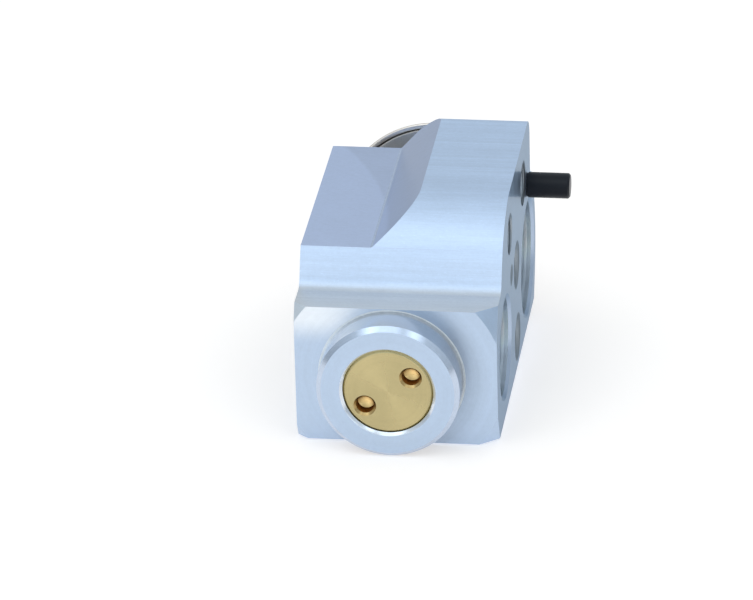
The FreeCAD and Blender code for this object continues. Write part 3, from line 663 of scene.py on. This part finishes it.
inside = {}
for node, slot in TURNED_INSIDE.items():
    piece = merged_copy(node, f"{node}_piece")
    break_edges(piece, FINE_EDGE)
    smooth(piece, angle=40)
    settle(piece, node, slot)
    inside[node] = piece
for node, slot in ROUND_INSIDE.items():
    piece = merged_copy(node, f"{node}_piece")
    smooth(piece, angle=60)
    settle(piece, node, slot)
    inside[node] = piece

# %% [markdown]
# ## Shader sums
#
# A finish is a small sum of patterns. Nodes are tidier to write as Python expressions, so one
# class wraps a socket and turns + - * ** into Math nodes, and another adds every other kind of
# node to a tree.


# %% Sockets and nodes
class Wire:
    """A socket of a node. A sum on it adds the Math node that works it out."""

    def __init__(self, nodes, socket):
        self.nodes = nodes
        self.socket = socket

    def sum(self, operation, first, second):
        return self.nodes.add("ShaderNodeMath", {"operation": operation}, {0: first, 1: second})

    def __add__(self, other):
        return self.sum("ADD", self, other)

    def __radd__(self, other):
        return self.sum("ADD", other, self)

    def __sub__(self, other):
        return self.sum("SUBTRACT", self, other)

    def __rsub__(self, other):
        return self.sum("SUBTRACT", other, self)

    def __mul__(self, other):
        return self.sum("MULTIPLY", self, other)

    def __rmul__(self, other):
        return self.sum("MULTIPLY", other, self)

    def __pow__(self, other):
        return self.sum("POWER", self, other)

    def at_least(self, other):
        return self.sum("MAXIMUM", self, other)


class Nodes:
    """A tree of nodes, and the ways to add to it."""

    def __init__(self, tree):
        self.tree = tree

    def add(self, kind, settings=None, inputs=None, output=0):
        """Adds a node: its settings first, then the values or links of its sockets."""
        node = self.tree.nodes.new(kind)
        for name, value in (settings or {}).items():
            setattr(node, name, value)
        for name, value in (inputs or {}).items():
            if isinstance(value, Wire):
                self.tree.links.new(value.socket, node.inputs[name])
            else:
                node.inputs[name].default_value = value
        return Wire(self, node.outputs[output])

    def parts(self, vector):
        """The three coordinates of a vector."""
        return [self.add("ShaderNodeSeparateXYZ", None, {0: vector}, axis) for axis in "XYZ"]

    def between(self, value, low, high, to_low=0.0, to_high=1.0):
        """Maps a value smoothly from one range onto another."""
        return self.add("ShaderNodeMapRange", {"interpolation_type": "SMOOTHSTEP"},
                        {"Value": value, "From Min": low, "From Max": high,
                         "To Min": to_low, "To Max": to_high})


def length(first, second):
    """Distance from an axis, from the two coordinates across it."""
    return (first * first + second * second) ** 0.5

# %% [markdown]
# ## A finish
#
# A finish is a material whose colour, gloss and relief come from such sums. Every pattern is
# worked out from Object coordinates in millimetres, so it stays on the piece when the piece
# moves. A number that is the same all over is set on the shader's own socket.


# %% A finish
class Finish(Nodes):
    """A material in the making."""

    def __init__(self, name, color, roughness, metallic=1.0, specular=0.5):
        self.material = bpy.data.materials.new(name)
        self.material.use_nodes = True
        super().__init__(self.material.node_tree)
        self.shader = self.tree.nodes["Principled BSDF"]
        self.color = color
        self.roughness = roughness
        self.shader.inputs["Metallic"].default_value = metallic
        self.shader.inputs["Specular IOR Level"].default_value = specular
        self.shader.inputs["Base Color"].default_value = (*color, 1.0)
        self.shader.inputs["Roughness"].default_value = roughness
        place = self.add("ShaderNodeTexCoord", output="Object")
        self.place = self.add("ShaderNodeVectorMath", {"operation": "SCALE"},
                              {0: place, "Scale": 1 / MM})
        self.x, self.y, self.z = self.parts(self.place)

    def stretched(self, along, factor):
        """The place with one axis squeezed, so that a noise on it draws lines along that axis."""
        scale = [factor if letter == along else 1.0 for letter in "XYZ"]
        return self.add("ShaderNodeVectorMath", {"operation": "MULTIPLY"},
                        {0: self.place, 1: scale})

    def noise(self, place, scale, detail=2.0, roughness=0.5):
        """Soft noise from 0 to 1; place is a vector, or one number for lines of equal value."""
        flat = place.socket.type == "VALUE"
        return self.add("ShaderNodeTexNoise", {"noise_dimensions": "1D" if flat else "3D"},
                        {"W" if flat else "Vector": place, "Scale": scale, "Detail": detail,
                         "Roughness": roughness})

    def shade(self, brightness, tint=None, tint_amount=0.0):
        """Base colour times a brightness, and a share of a second colour mixed in."""
        base = self.color
        if tint is not None:
            base = self.add("ShaderNodeMix", {"data_type": "RGBA"},
                            {0: tint_amount, 6: (*self.color, 1.0), 7: (*tint, 1.0)}, 2)
        shaded = self.add("ShaderNodeVectorMath", {"operation": "SCALE"},
                          {0: base, "Scale": brightness})
        self.tree.links.new(shaded.socket, self.shader.inputs["Base Color"])

    def gloss(self, roughness):
        self.tree.links.new(roughness.socket, self.shader.inputs["Roughness"])

    def relief(self, height, depth):
        """Bump from a height of 0 to 1; depth is the full height in metres."""
        bump = self.add("ShaderNodeBump", None, {"Height": height, "Distance": depth,
                                                 "Strength": 1.0}, "Normal")
        self.tree.links.new(bump.socket, self.shader.inputs["Normal"])

# %% [markdown]
# ## Aluminium
#
# The block shows how it was made, so each of its tools gets a finish of its own. One function
# puts the marks on the metal, and each finish says what its tool leaves. The extruded skin
# carries fine die lines along its length, which is the X axis here, and small nicks.

# %% Tool marks and the extruded skin
AXIS_MM = AXIS_X / MM


def marked(finish, marks, wear_and_sheen, depth, contrast=0.10, gloss_change=0.08, level=1.0, **second):
    """Puts tool marks on a metal: relief, and a little change of colour and gloss."""
    cloud = finish.noise(finish.place, 0.16, 4.0, 0.6)
    speckle = finish.noise(finish.place, 1.3, 4.0, 0.7)
    # The third pattern is random wear, and on the brass face it also carries a painted sheen.
    finish.shade(level + (marks - 0.5) * contrast + (wear_and_sheen - 0.5) * contrast
                 + (cloud - 0.5) * 0.08 + (speckle - 0.5) * 0.12, **second)
    finish.gloss((cloud - 0.5) * 0.06 + (wear_and_sheen - 0.5) * gloss_change + finish.roughness)
    finish.relief(marks, depth)
    return finish.material


def extruded_aluminium():
    """Die lines and nicks, and a painted grey reflection on the ledge above the boss."""
    finish = Finish("extruded_aluminium", (0.625, 0.735, 0.90), 0.52)
    fine = finish.noise(finish.stretched("X", 0.04), 5.0, 4.0, 0.7)
    bands = finish.noise(finish.stretched("X", 0.02), 0.9, 3.0)
    grain = finish.noise(finish.stretched("X", 0.4), 3.5, 4.0, 0.75)
    nicks = finish.between(grain, 0.60, 0.72)
    # Painted reflection: the ledge above the boss is tinted grey.
    painted_ledge_reflection = (finish.between(finish.z, 14.2, 17.5, 1.0, 0.0) * finish.between(finish.z, 12.5, 13.5)
             * finish.between(finish.y, -27.0, -25.0, 1.0, 0.0))
    return marked(finish, fine * 0.7 + bands * 0.3 + nicks * 0.5, grain * 0.5 + bands * 0.5,
                  7e-6, contrast=0.22, tint=(0.69, 0.70, 0.71), tint_amount=painted_ledge_reflection)


print("the valve axis is at", round(AXIS_MM, 2), "mm in the sums")

# %% [markdown]
# ## Turned aluminium
#
# The ends are turned, so their marks are rings round the valve axis, and rings along it on the
# side of the boss. A cone joins both: its rings follow the radius and the distance together. The
# near face has a painted highlight at its upper left and painted shade at the right of the boss.
# The side of the boss has a painted highlight on its left and painted shade on its right.


# %% Turned aluminium
def turned_aluminium():
    """Rings round the valve axis, on flat faces and on cones."""
    finish = Finish("turned_aluminium", (0.495, 0.61, 0.775), 0.30)
    radius = length(finish.x - AXIS_MM, finish.z)
    feed = radius + finish.y * 0.9
    rings = finish.noise(feed, 9.0, 2.0, 0.6)
    broad = finish.noise(feed, 0.8, 2.0)
    grain = finish.noise(finish.place, 4.0, 4.0, 0.7)
    on_block = finish.between(finish.y, -38.0, -36.0)
    # Painted highlight: the near face is paler towards its upper left.
    painted_highlight_corner = finish.between(finish.z, 6.0, 12.0) * finish.between(finish.x, 1.0, 24.0, 1, 0)
    # Painted shade: the near face is darker to the right of the boss.
    painted_shade_by_boss = finish.between(radius, 13.4, 19.0, 1.0, 0.0) * finish.between(finish.x, 20.0, 29.0)
    return marked(finish, rings * 0.8 + broad * 0.2, broad * 0.4 + grain * 0.6, 3e-6,
                  contrast=0.14, level=0.97 - on_block * painted_shade_by_boss * 0.24,
                  tint=(0.86, 0.92, 0.98), tint_amount=on_block * painted_highlight_corner * 0.9)


def turned_edge(name, color):
    """The thin ring of a broken edge."""
    finish = Finish(name, color, 0.20)
    rings = finish.noise(length(finish.x - AXIS_MM, finish.z), 6.0, 2.0, 0.6)
    return marked(finish, rings, finish.noise(finish.place, 1.0, 3.0), 3e-6, contrast=0.14)


def matt_painted_edge(name, color):
    """A thin edge that hardly mirrors; its colour is a painted line along the edge."""
    finish = Finish(name, color, 0.55, metallic=0.0)
    grain = finish.noise(finish.place, 2.0, 3.0, 0.6)
    return marked(finish, grain, grain, 3e-6, contrast=0.2)


def turned_side():
    """Rings along the boss's side; painted highlight at its left, painted shade at its right."""
    finish = Finish("turned_side", (0.76, 0.785, 0.83), 0.24)
    rings = finish.noise(finish.y, 8.0, 2.0, 0.6)
    broad = finish.noise(finish.y, 0.8, 2.0)
    # Painted highlight on the left of the boss's side, painted shade towards its right.
    level = (finish.between(finish.x, 4.0, 14.0, 1.2, 0.82)
             - finish.between(finish.x, 20.0, 30.0) * 0.12)
    return marked(finish, rings, broad, 2e-6, level=level)

# %% [markdown]
# ## Milled aluminium
#
# The step in the lug is cut with a face mill, whose teeth leave wide arcs. The mill's centre
# lies beside the block, and its teeth drag a second, fainter set of arcs on their way back. The
# port faces are milled smooth, and at the flat angle of the photograph they mirror the room.

# %% Milled aluminium
MILL_CENTRE = (-63.8, -22.1)
MILL_REACH = 79.7


def milled_aluminium():
    """Wide arcs, duller beyond the circle that the mill swept last."""
    finish = Finish("milled_aluminium", (0.56, 0.64, 0.83), 0.38)
    across = finish.x - MILL_CENTRE[0] + finish.z * 0.6
    reach = (MILL_REACH ** 2 - across * across).at_least(1.0) ** 0.5
    arcs = finish.noise(finish.y - reach, 3.2, 3.0, 0.6)
    back_arcs = finish.noise(finish.y + reach, 2.3, 2.0, 0.6)
    from_mill = length(finish.x - MILL_CENTRE[0], finish.y - MILL_CENTRE[1])
    swept = finish.between(from_mill, MILL_REACH - 0.5, MILL_REACH + 0.5, 1.0, 0.0)
    hatch = finish.noise(finish.y + finish.x * 0.7, 1.1, 3.0, 0.6)
    grain = finish.noise(finish.place, 3.0, 4.0, 0.7)
    marks = arcs * 0.5 + back_arcs * 0.2 + hatch * 0.3
    return marked(finish, marks, swept * 0.6 + grain * 0.4, 4e-6, contrast=0.16)


def faced_aluminium():
    """Fine upright lines under a thin gloss."""
    finish = Finish("faced_aluminium", (0.43, 0.52, 0.66), 0.34)
    finish.shader.inputs["Specular Tint"].default_value = (0.32, 0.42, 0.50, 1.0)
    finish.shader.inputs["Coat Weight"].default_value = 0.2
    finish.shader.inputs["Coat Roughness"].default_value = 0.08
    lines = finish.noise(finish.stretched("Z", 0.015), 5.0, 3.0, 0.6)
    broad = finish.noise(finish.stretched("Z", 0.1), 0.5, 2.0)
    return marked(finish, lines, broad, 2e-6)


print("made: milled finishes, the mill's reach is", MILL_REACH, "mm")

# %% [markdown]
# ## Drilled and bored aluminium
#
# Holes show rings along their depth. The drilled ones are rough, and their dark insides are
# painted shade. The bores on the valve axis are bright, and the ports are bored smooth for the
# seals of the pipes; their walls carry a painted highlight streak and painted shade deeper in.


# %% Drilled and bored aluminium
def drilled_aluminium():
    # Painted shade: the drilled holes are coloured dark inside.
    finish = Finish("drilled_aluminium", (0.30, 0.34, 0.38), 0.42)
    finish.shader.inputs["Specular Tint"].default_value = (0.34, 0.40, 0.46, 1.0)
    rings = finish.noise(finish.x, 3.0, 3.0, 0.6)
    return marked(finish, rings, finish.noise(finish.place, 1.2, 3.0), 8e-6, contrast=0.3)


def bored_aluminium():
    finish = Finish("bored_aluminium", (0.88, 0.93, 0.98), 0.30)
    rings = finish.noise(finish.y, 3.0, 2.0, 0.6)
    return marked(finish, rings, finish.noise(finish.y, 0.9, 2.0), 4e-6)


def polished_socket(name):
    """The wall of a port, with a painted highlight streak along its depth at its centre line."""
    finish = Finish(f"{name}_wall", (0.84, 0.92, 1.0), 0.30)
    above = finish.z - HOLES[name][1] / MM
    reach = HOLES[name][2] / MM * 0.62
    # Painted highlight: a streak along the port at the height of its centre line.
    painted_highlight_streak = finish.between(above * above, 0.0, reach * reach, 1.0, 0.0)
    middle = (PORT_FACES[0] + PORT_FACES[1]) / 2 / MM
    off_middle = (finish.x - middle) * (finish.x - middle)
    # Painted shade: the wall is darker deeper in the port than near its mouth.
    painted_depth_shade = finish.between(off_middle, (middle - 5.5) ** 2, (middle - 3.0) ** 2, 0.72, 1.0)
    rings = finish.noise(finish.x, 2.0, 3.0, 0.6)
    return marked(finish, rings, finish.noise(finish.x, 0.9, 2.0), 2e-5, contrast=0.2,
                  level=painted_depth_shade * (painted_highlight_streak * 0.24 + 0.88))


SOCKET_LIMIT = 5 * MM
SMALL_HOLES = [name for name in HOLES if HOLES[name][2] < SOCKET_LIMIT]
SOCKETS = [name for name in HOLES if name not in SMALL_HOLES]
print("bored smooth:", ", ".join(SOCKETS), "and drilled:", len(SMALL_HOLES), "small holes")

# %% [markdown]
# ## Finishes by place
#
# Each face of the block is given the finish of the tool that made it. The faces are found by
# where they lie and which way they look, in the order of the list: the first test that a face
# passes decides. What no test claims is the extruded skin.

# %% Finishes by place
BOSS_FRONT = NEAR_FACE - 4 * MM
BOSS_RING_MIDDLE = (MOUTH_RADIUS + BOSS_RADIUS) / 2
HEAD_BORE_DEPTH = 6 * MM
COUNTERSINK = 0.8 * MM
TRIMMED_ABOVE = 14.1 * MM
TRIMMED_BEYOND = 10 * MM
TRIMMED_BEFORE = STEP_FOOT + 4 * MM


def near(value, target, slack=0.03 * MM):
    return abs(value - target) < slack


def from_axis(place):
    return math.hypot(place.x - AXIS_X, place.z)


def in_cross_hole(place, names=tuple(HOLES)):
    """Tells whether a place is inside one of the holes that run along X."""
    return any(math.hypot(place.y - y, place.z - z) < radius
               for y, z, radius in (HOLES[name] for name in names))


def on_port_face(place, normal):
    flat = abs(normal.x) > 0.99 and any(near(place.x, face) for face in PORT_FACES)
    countersunk = (abs(normal.x) > 0.3 and in_cross_hole(place)
                   and not in_small_hole(place, normal)
                   and any(near(place.x, face, COUNTERSINK) for face in PORT_FACES))
    return flat or countersunk


def on_turned_flat(place, normal):
    return abs(normal.y) > 0.9 and any(near(place.y, flat, 0.15 * MM)
                                       for flat in (block_low.y, NEAR_FACE, FAR_FACE))


def in_axis_bore(place, normal):
    radius = from_axis(place)
    in_passage = abs(normal.x) < 0.02 < abs(normal.y) and in_cross_hole(place)
    in_head_bore = place.y > FAR_FACE - HEAD_BORE_DEPTH and radius < HEAD_BORE_RADIUS
    return in_head_bore or (radius < MOUTH_RADIUS and not in_passage)


def in_small_hole(place, normal):
    return in_cross_hole(place, SMALL_HOLES)


def in_socket(name):
    """Makes the test for the wall of one port."""
    return lambda place, normal: in_cross_hole(place, [name])


def on_boss_edge(place, normal):
    return (place.y < BOSS_FRONT and 0.2 < abs(normal.y) < 0.97
            and from_axis(place) > BOSS_RING_MIDDLE)


def on_mouth_edge(place, normal):
    return (place.y < NEAR_FACE and 0.2 < abs(normal.y) < 0.97
            and from_axis(place) < BOSS_RING_MIDDLE)


def on_boss_root(place, normal):
    return (near(place.y, NEAR_FACE, 0.4 * MM) and 0.1 < abs(normal.y) < 0.97
            and near(from_axis(place), BOSS_RADIUS, 0.4 * MM))


def on_step_edge(place, normal):
    return (near(place.z, STEP_FLOOR, 0.2 * MM) and place.x < STEP_FOOT + 0.2 * MM
            and (-0.7 < normal.x < -0.05 or (normal.y < -0.2 and normal.z > 0.05)))


def on_turned_cone(place, normal):
    return place.y < NEAR_FACE or (abs(normal.x) > 0.2 and 0.6 < abs(normal.y) < 0.8)


def on_boss_side(place, normal):
    return abs(normal.y) < 0.5 and place.y < NEAR_FACE and from_axis(place) > MOUTH_RADIUS


def on_step(place, normal):
    floor_or_ramp = place.z > STEP_FLOOR - 0.05 * MM and (near(place.z, STEP_FLOOR)
                                                        or normal.x < -0.1)
    trimmed_wall = (normal.y > 0.3 and place.x < TRIMMED_BEFORE and place.y > TRIMMED_BEYOND
                    and place.z > TRIMMED_ABOVE)
    return floor_or_ramp or trimmed_wall


# %% Dressing the block
def dress(piece, plain, rules=()):
    """Gives every face the first finish whose test it passes, and the plain one otherwise."""
    piece.data.materials.clear()
    for material in (plain, *(material for material, _ in rules)):
        piece.data.materials.append(material)
    counts = [0] * (len(rules) + 1)
    for face in piece.data.polygons:
        index = next((number for number, (_, test) in enumerate(rules, start=1)
                      if test(face.center, face.normal)), 0)
        face.material_index = index
        counts[index] += 1
    print(piece.name, "faces by finish:", counts)


turned = turned_aluminium()
dress(block, extruded_aluminium(), [
    (turned, on_turned_flat),
    (faced_aluminium(), on_port_face),
    # Painted highlight: a pale line round the root of the boss.
    (matt_painted_edge("boss_root_painted_highlight", (0.92, 0.97, 1.0)), on_boss_root),
    # Painted shade: a dark line along the edge of the step.
    (matt_painted_edge("step_edge_painted_shade", (0.42, 0.48, 0.60)), on_step_edge),
    (turned_edge("boss_edge", (0.54, 0.62, 0.75)), on_boss_edge),
    (turned_edge("mouth_edge", (0.70, 0.75, 0.82)), on_mouth_edge),
    (bored_aluminium(), in_axis_bore),
    (drilled_aluminium(), in_small_hole),
    *[(polished_socket(name), in_socket(name)) for name in SOCKETS],
    (turned_side(), on_boss_side),
    (turned, on_turned_cone),
    (milled_aluminium(), on_step),
])

# %% [markdown]
# ## Brass
#
# The plug's face shows faint turning rings, and the rings reflect a little more in one direction
# than in the other, which is painted on as a soft paler wedge: a painted sheen. The drilled holes
# are smoother, and light that bounces about in them comes out deeper in colour. Their walls are
# coloured darker as painted shade, and their bottoms carry a painted highlight in the middle.

# %% Brass
SPANNER_HOLE_REACH = SINK_RADIUS + 0.05 * MM
SPANNER_HOLE_END = PLUG_FACE + DRILL_TIP + 0.2 * MM


def turned_brass():
    """Faint rings, with a painted sheen as a soft paler wedge to both sides of the middle."""
    finish = Finish("turned_brass", (0.515, 0.435, 0.228), 0.27)
    radius = length(finish.x - AXIS_MM, finish.z)
    rings = finish.noise(radius + finish.y, 8.0, 2.0, 0.6)
    broad = finish.noise(radius, 0.9, 2.0)
    # Painted sheen: a soft paler wedge at two opposite angles round the axis.
    angle = finish.add("ShaderNodeMath", {"operation": "ARCTAN2"},
                       {0: finish.z, 1: finish.x - AXIS_MM})
    swing = finish.add("ShaderNodeMath", {"operation": "COSINE"}, {0: angle * 2.0 + 1.9})
    painted_sheen_wedge = (swing * 0.5 + 0.5) ** 3.0 + finish.noise(angle, 3.0, 2.0) * 0.4
    return marked(finish, rings * 0.8 + broad * 0.2, broad * 0.3 + painted_sheen_wedge * 0.6, 3e-6,
                  contrast=0.20)


def drilled_brass(name, color, roughness):
    """Rings down a spanner hole, with a painted highlight in its middle."""
    finish = Finish(name, color, roughness)
    rings = finish.noise(finish.y, 5.0, 2.0, 0.6)
    side = finish.between(finish.x - AXIS_MM, -0.1, 0.1, -1.0, 1.0)
    across, rise = (value / MM for value in SPANNER_HOLES[0])
    # Painted highlight: brightest near the middle of each hole, darker towards its edge.
    from_middle = length(finish.x - AXIS_MM - 0.4 - side * across,
                         finish.z + 0.2 - side * rise)
    return marked(finish, rings, rings, 2e-6,
                  level=finish.between(from_middle, 0.0, 1.9, 1.45, 0.70))


def in_spanner_hole(place, normal):
    inside_hole = any(math.hypot(place.x - AXIS_X - across, place.z - rise)
                      < SPANNER_HOLE_REACH for across, rise in SPANNER_HOLES)
    return inside_hole and PLUG_FACE + 0.01 * MM < place.y < SPANNER_HOLE_END


def on_spanner_wall(place, normal):
    return in_spanner_hole(place, normal) and abs(normal.y) < 0.2


dress(plug, turned_brass(), [
    # Painted shade: the walls of the spanner holes are coloured darker than their bottoms.
    (drilled_brass("drilled_brass_shaded_wall", (0.42, 0.24, 0.09), 0.30), on_spanner_wall),
    (drilled_brass("drilled_brass", (0.68, 0.48, 0.21), 0.26), in_spanner_hole),
])

# %% [markdown]
# ## Steel, plastic and rubber
#
# The head's sheet is brushed and a little uneven from drawing. Its upper housing shows the
# rings of spinning and a straw tint on the rim. The pin is blackened, so it is dark and hardly
# shines. The inner steel pieces are ground, the spring is plain wire, the sleeve is moulded
# plastic and the rings are matt rubber.


# %% The head and the pin
def drawn_steel():
    finish = Finish("drawn_steel", (0.60, 0.58, 0.56), 0.48)
    brushed = finish.noise(finish.stretched("Z", 0.05), 4.0, 3.0, 0.6)
    broad = finish.noise(finish.place, 0.35, 3.0)
    return marked(finish, brushed, broad, 4e-6, contrast=0.12, gloss_change=0.12)


def spun_steel():
    """Rings round the head, and a straw tint on the rim."""
    finish = Finish("spun_steel", (0.47, 0.475, 0.49), 0.32)
    radius = length(finish.x - AXIS_MM, finish.z)
    rings = finish.noise(radius + finish.y, 5.0, 2.0, 0.6)
    broad = finish.noise(radius, 0.6, 2.0)
    rim = finish.between(finish.y, upper_low.y / MM + 1.2, upper_low.y / MM + 2.4, 1.0, 0.0)
    return marked(finish, rings, broad, 3e-6, contrast=0.10, tint=(0.88, 0.80, 0.72),
                  tint_amount=rim)


def blackened_steel():
    finish = Finish("blackened_steel", (0.004, 0.006, 0.011), 0.34, metallic=0.0, specular=0.25)
    lines = finish.noise(finish.stretched("X", 0.05), 4.0, 3.0, 0.6)
    cloud = finish.noise(finish.place, 1.2, 3.0)
    finish.shade(0.7 + lines * 0.4 + cloud * 0.3)
    finish.gloss(0.27 + cloud * 0.14)
    finish.relief(lines, 4e-6)
    return finish.material


head_sheet = drawn_steel()
dress(pin, blackened_steel())
dress(upper_housing, spun_steel())
dress(lower_housing, head_sheet)
dress(diaphragm, head_sheet)


# %% The pieces inside
def ground_steel():
    finish = Finish("ground_steel", (0.52, 0.53, 0.55), 0.22)
    lines = finish.noise(finish.y, 8.0, 3.0, 0.6)
    return marked(finish, lines, finish.noise(finish.place, 0.8), 2e-6)


def wire_steel():
    finish = Finish("wire_steel", (0.40, 0.40, 0.42), 0.34)
    grain = finish.noise(finish.place, 6.0, 3.0, 0.6)
    return marked(finish, grain, finish.noise(finish.place, 0.8), 4e-6, contrast=0.10)


def turned_rod():
    finish = Finish("turned_rod", (0.60, 0.62, 0.65), 0.28)
    rings = finish.noise(finish.y, 7.0, 2.0, 0.6)
    return marked(finish, rings, finish.noise(finish.y, 0.8), 3e-6)


def moulded_plastic():
    finish = Finish("moulded_plastic", (0.72, 0.70, 0.62), 0.48, metallic=0.0)
    grain = finish.noise(finish.place, 9.0, 3.0, 0.6)
    return marked(finish, grain, finish.noise(finish.place, 0.6), 5e-6)


def matt_rubber():
    finish = Finish("matt_rubber", (0.012, 0.035, 0.020), 0.60, metallic=0.0, specular=0.35)
    grain = finish.noise(finish.place, 12.0, 3.0, 0.6)
    return marked(finish, grain, finish.noise(finish.place, 1.0), 6e-6, contrast=0.2)


spring_wire = wire_steel()
inner_ground = ground_steel()
FINISHES = {
    "inner_steel": inner_ground,
    "rod_aluminium": turned_rod(),
    "sleeve_plastic": moulded_plastic(),
    "spring_steel": spring_wire,
    "seal_rubber": matt_rubber(),
}
dress(filler, inner_ground)
dress(near_coil, spring_wire)
dress(far_coil, spring_wire)
for node, piece in inside.items():
    dress(piece, FINISHES[piece["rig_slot"]])

# %% [markdown]
# ## Floor
#
# The valve lies as it comes to rest: on the lower edge of its head and on the lower edge of its
# boss, so the floor leans a little towards the boss in the valve's own frame. The floor is white
# paper, and the soft shadow stays on it. A little light of its own, which only the camera and
# reflections see, keeps it white, and it fades to grey far from the valve.

# %% Floor
BOSS_CHAMFER = 0.9 * MM
HEAD_BOTTOM = Vector((0.0, RIM_BEAD, -RIM_RADIUS))
BOSS_BOTTOM = Vector((0.0, block_low.y + BOSS_CHAMFER, -BOSS_RADIUS))
floor_run = HEAD_BOTTOM - BOSS_BOTTOM
floor_tilt = math.atan2(floor_run.z, floor_run.y)
FLOOR_SIZE = 3.0
GAP_UNDER = 0.02 * MM
FADE_START = 260.0
FADE_END = 900.0
FADE_SHARE = 0.45
LIFT = 0.37

deselect()
bpy.ops.mesh.primitive_plane_add(size=FLOOR_SIZE, location=(AXIS_X, HEAD_BOTTOM.y,
                                                            HEAD_BOTTOM.z - GAP_UNDER),
                                 rotation=(floor_tilt, 0, 0))
floor = bpy.context.object
floor.name = "floor"
edit(floor)
bpy.ops.mesh.subdivide(number_cuts=7)
leave()

paper = Finish("white_paper", (0.88, 0.81, 0.76), 0.9, metallic=0.0, specular=0.0)
fade = paper.between(length(paper.x, paper.y), FADE_START, FADE_END)
paper.shade(1.0 - fade * FADE_SHARE)
straight, mirrored, through = (paper.add("ShaderNodeLightPath", output=f"Is {kind} Ray")
                               for kind in ("Camera", "Glossy", "Transmission"))
seen = straight + mirrored + through
lift = paper.add("ShaderNodeEmission", None,
                 {"Color": (1, 1, 1, 1), "Strength": seen * (1.0 - fade) * LIFT}, "Emission")
both = paper.add("ShaderNodeAddShader", None,
                 {0: Wire(paper, paper.shader.outputs["BSDF"]), 1: lift}, "Shader")
output = paper.tree.nodes["Material Output"]
paper.tree.links.new(both.socket, output.inputs["Surface"])
dress(floor, paper.material)
print("floor leans", round(math.degrees(floor_tilt), 2), "degrees")

# %% [markdown]
# ## Light
#
# The light is a plain studio. The surround is pale and a little brighter above, and five soft
# panels hang in it. Each is given by its direction, how narrow it is and how strong: a broad one
# in front, one at each side of it, and two narrow ones overhead that draw the bright lines on
# the boss. One soft lamp puts the small highlights on the broken edges.

# %% Light
world = bpy.data.worlds.new("studio")
bpy.context.scene.world = world
world.use_nodes = True

DAYLIGHT = (0.86, 0.94, 1.0)
ALL_ROUND = 0.55
ABOVE = 0.35
PANELS = (
    ((0.0, -1.0, 0.0), 3.0, 0.38),
    ((-0.50, -0.85, 0.15), 12.0, 0.5),
    ((-0.47, -0.34, 0.81), 90.0, 1.6),
    ((0.43, -0.42, 0.80), 90.0, 1.3),
    ((0.62, -0.76, 0.18), 24.0, 1.1),
)
surround = Nodes(world.node_tree)
to_x, to_y, to_z = surround.parts(surround.add("ShaderNodeTexCoord", output="Generated"))
level = to_z.at_least(0.0) * ABOVE + ALL_ROUND
for (x, y, z), narrowness, strength in PANELS:
    facing = to_x * x + to_y * y + to_z * z
    level = level + facing.at_least(0.0) ** narrowness * strength
background = world.node_tree.nodes["Background"]
background.inputs["Color"].default_value = (*DAYLIGHT, 1.0)
world.node_tree.links.new(level.socket, background.inputs["Strength"])

LAMP_DIRECTION = Vector((-0.13, -0.44, 0.89)).normalized()
LAMP_DISTANCE = 0.8
LAMP_SIZE = 0.5
LAMP_WATTS = 0.5

lamp_data = bpy.data.lights.new("softbox", "AREA")
lamp_data.shape = "SQUARE"
lamp_data.size = LAMP_SIZE
lamp_data.energy = LAMP_WATTS
lamp_data.color = DAYLIGHT
lamp = bpy.data.objects.new("softbox", lamp_data)
bpy.context.scene.collection.objects.link(lamp)
lamp.matrix_world = (Matrix.Translation(LAMP_DIRECTION * LAMP_DISTANCE)
                     @ LAMP_DIRECTION.to_track_quat("Z", "Y").to_matrix().to_4x4())
bpy.context.scene.view_settings.view_transform = "Standard"
print("light:", len(PANELS), "panels and one lamp")
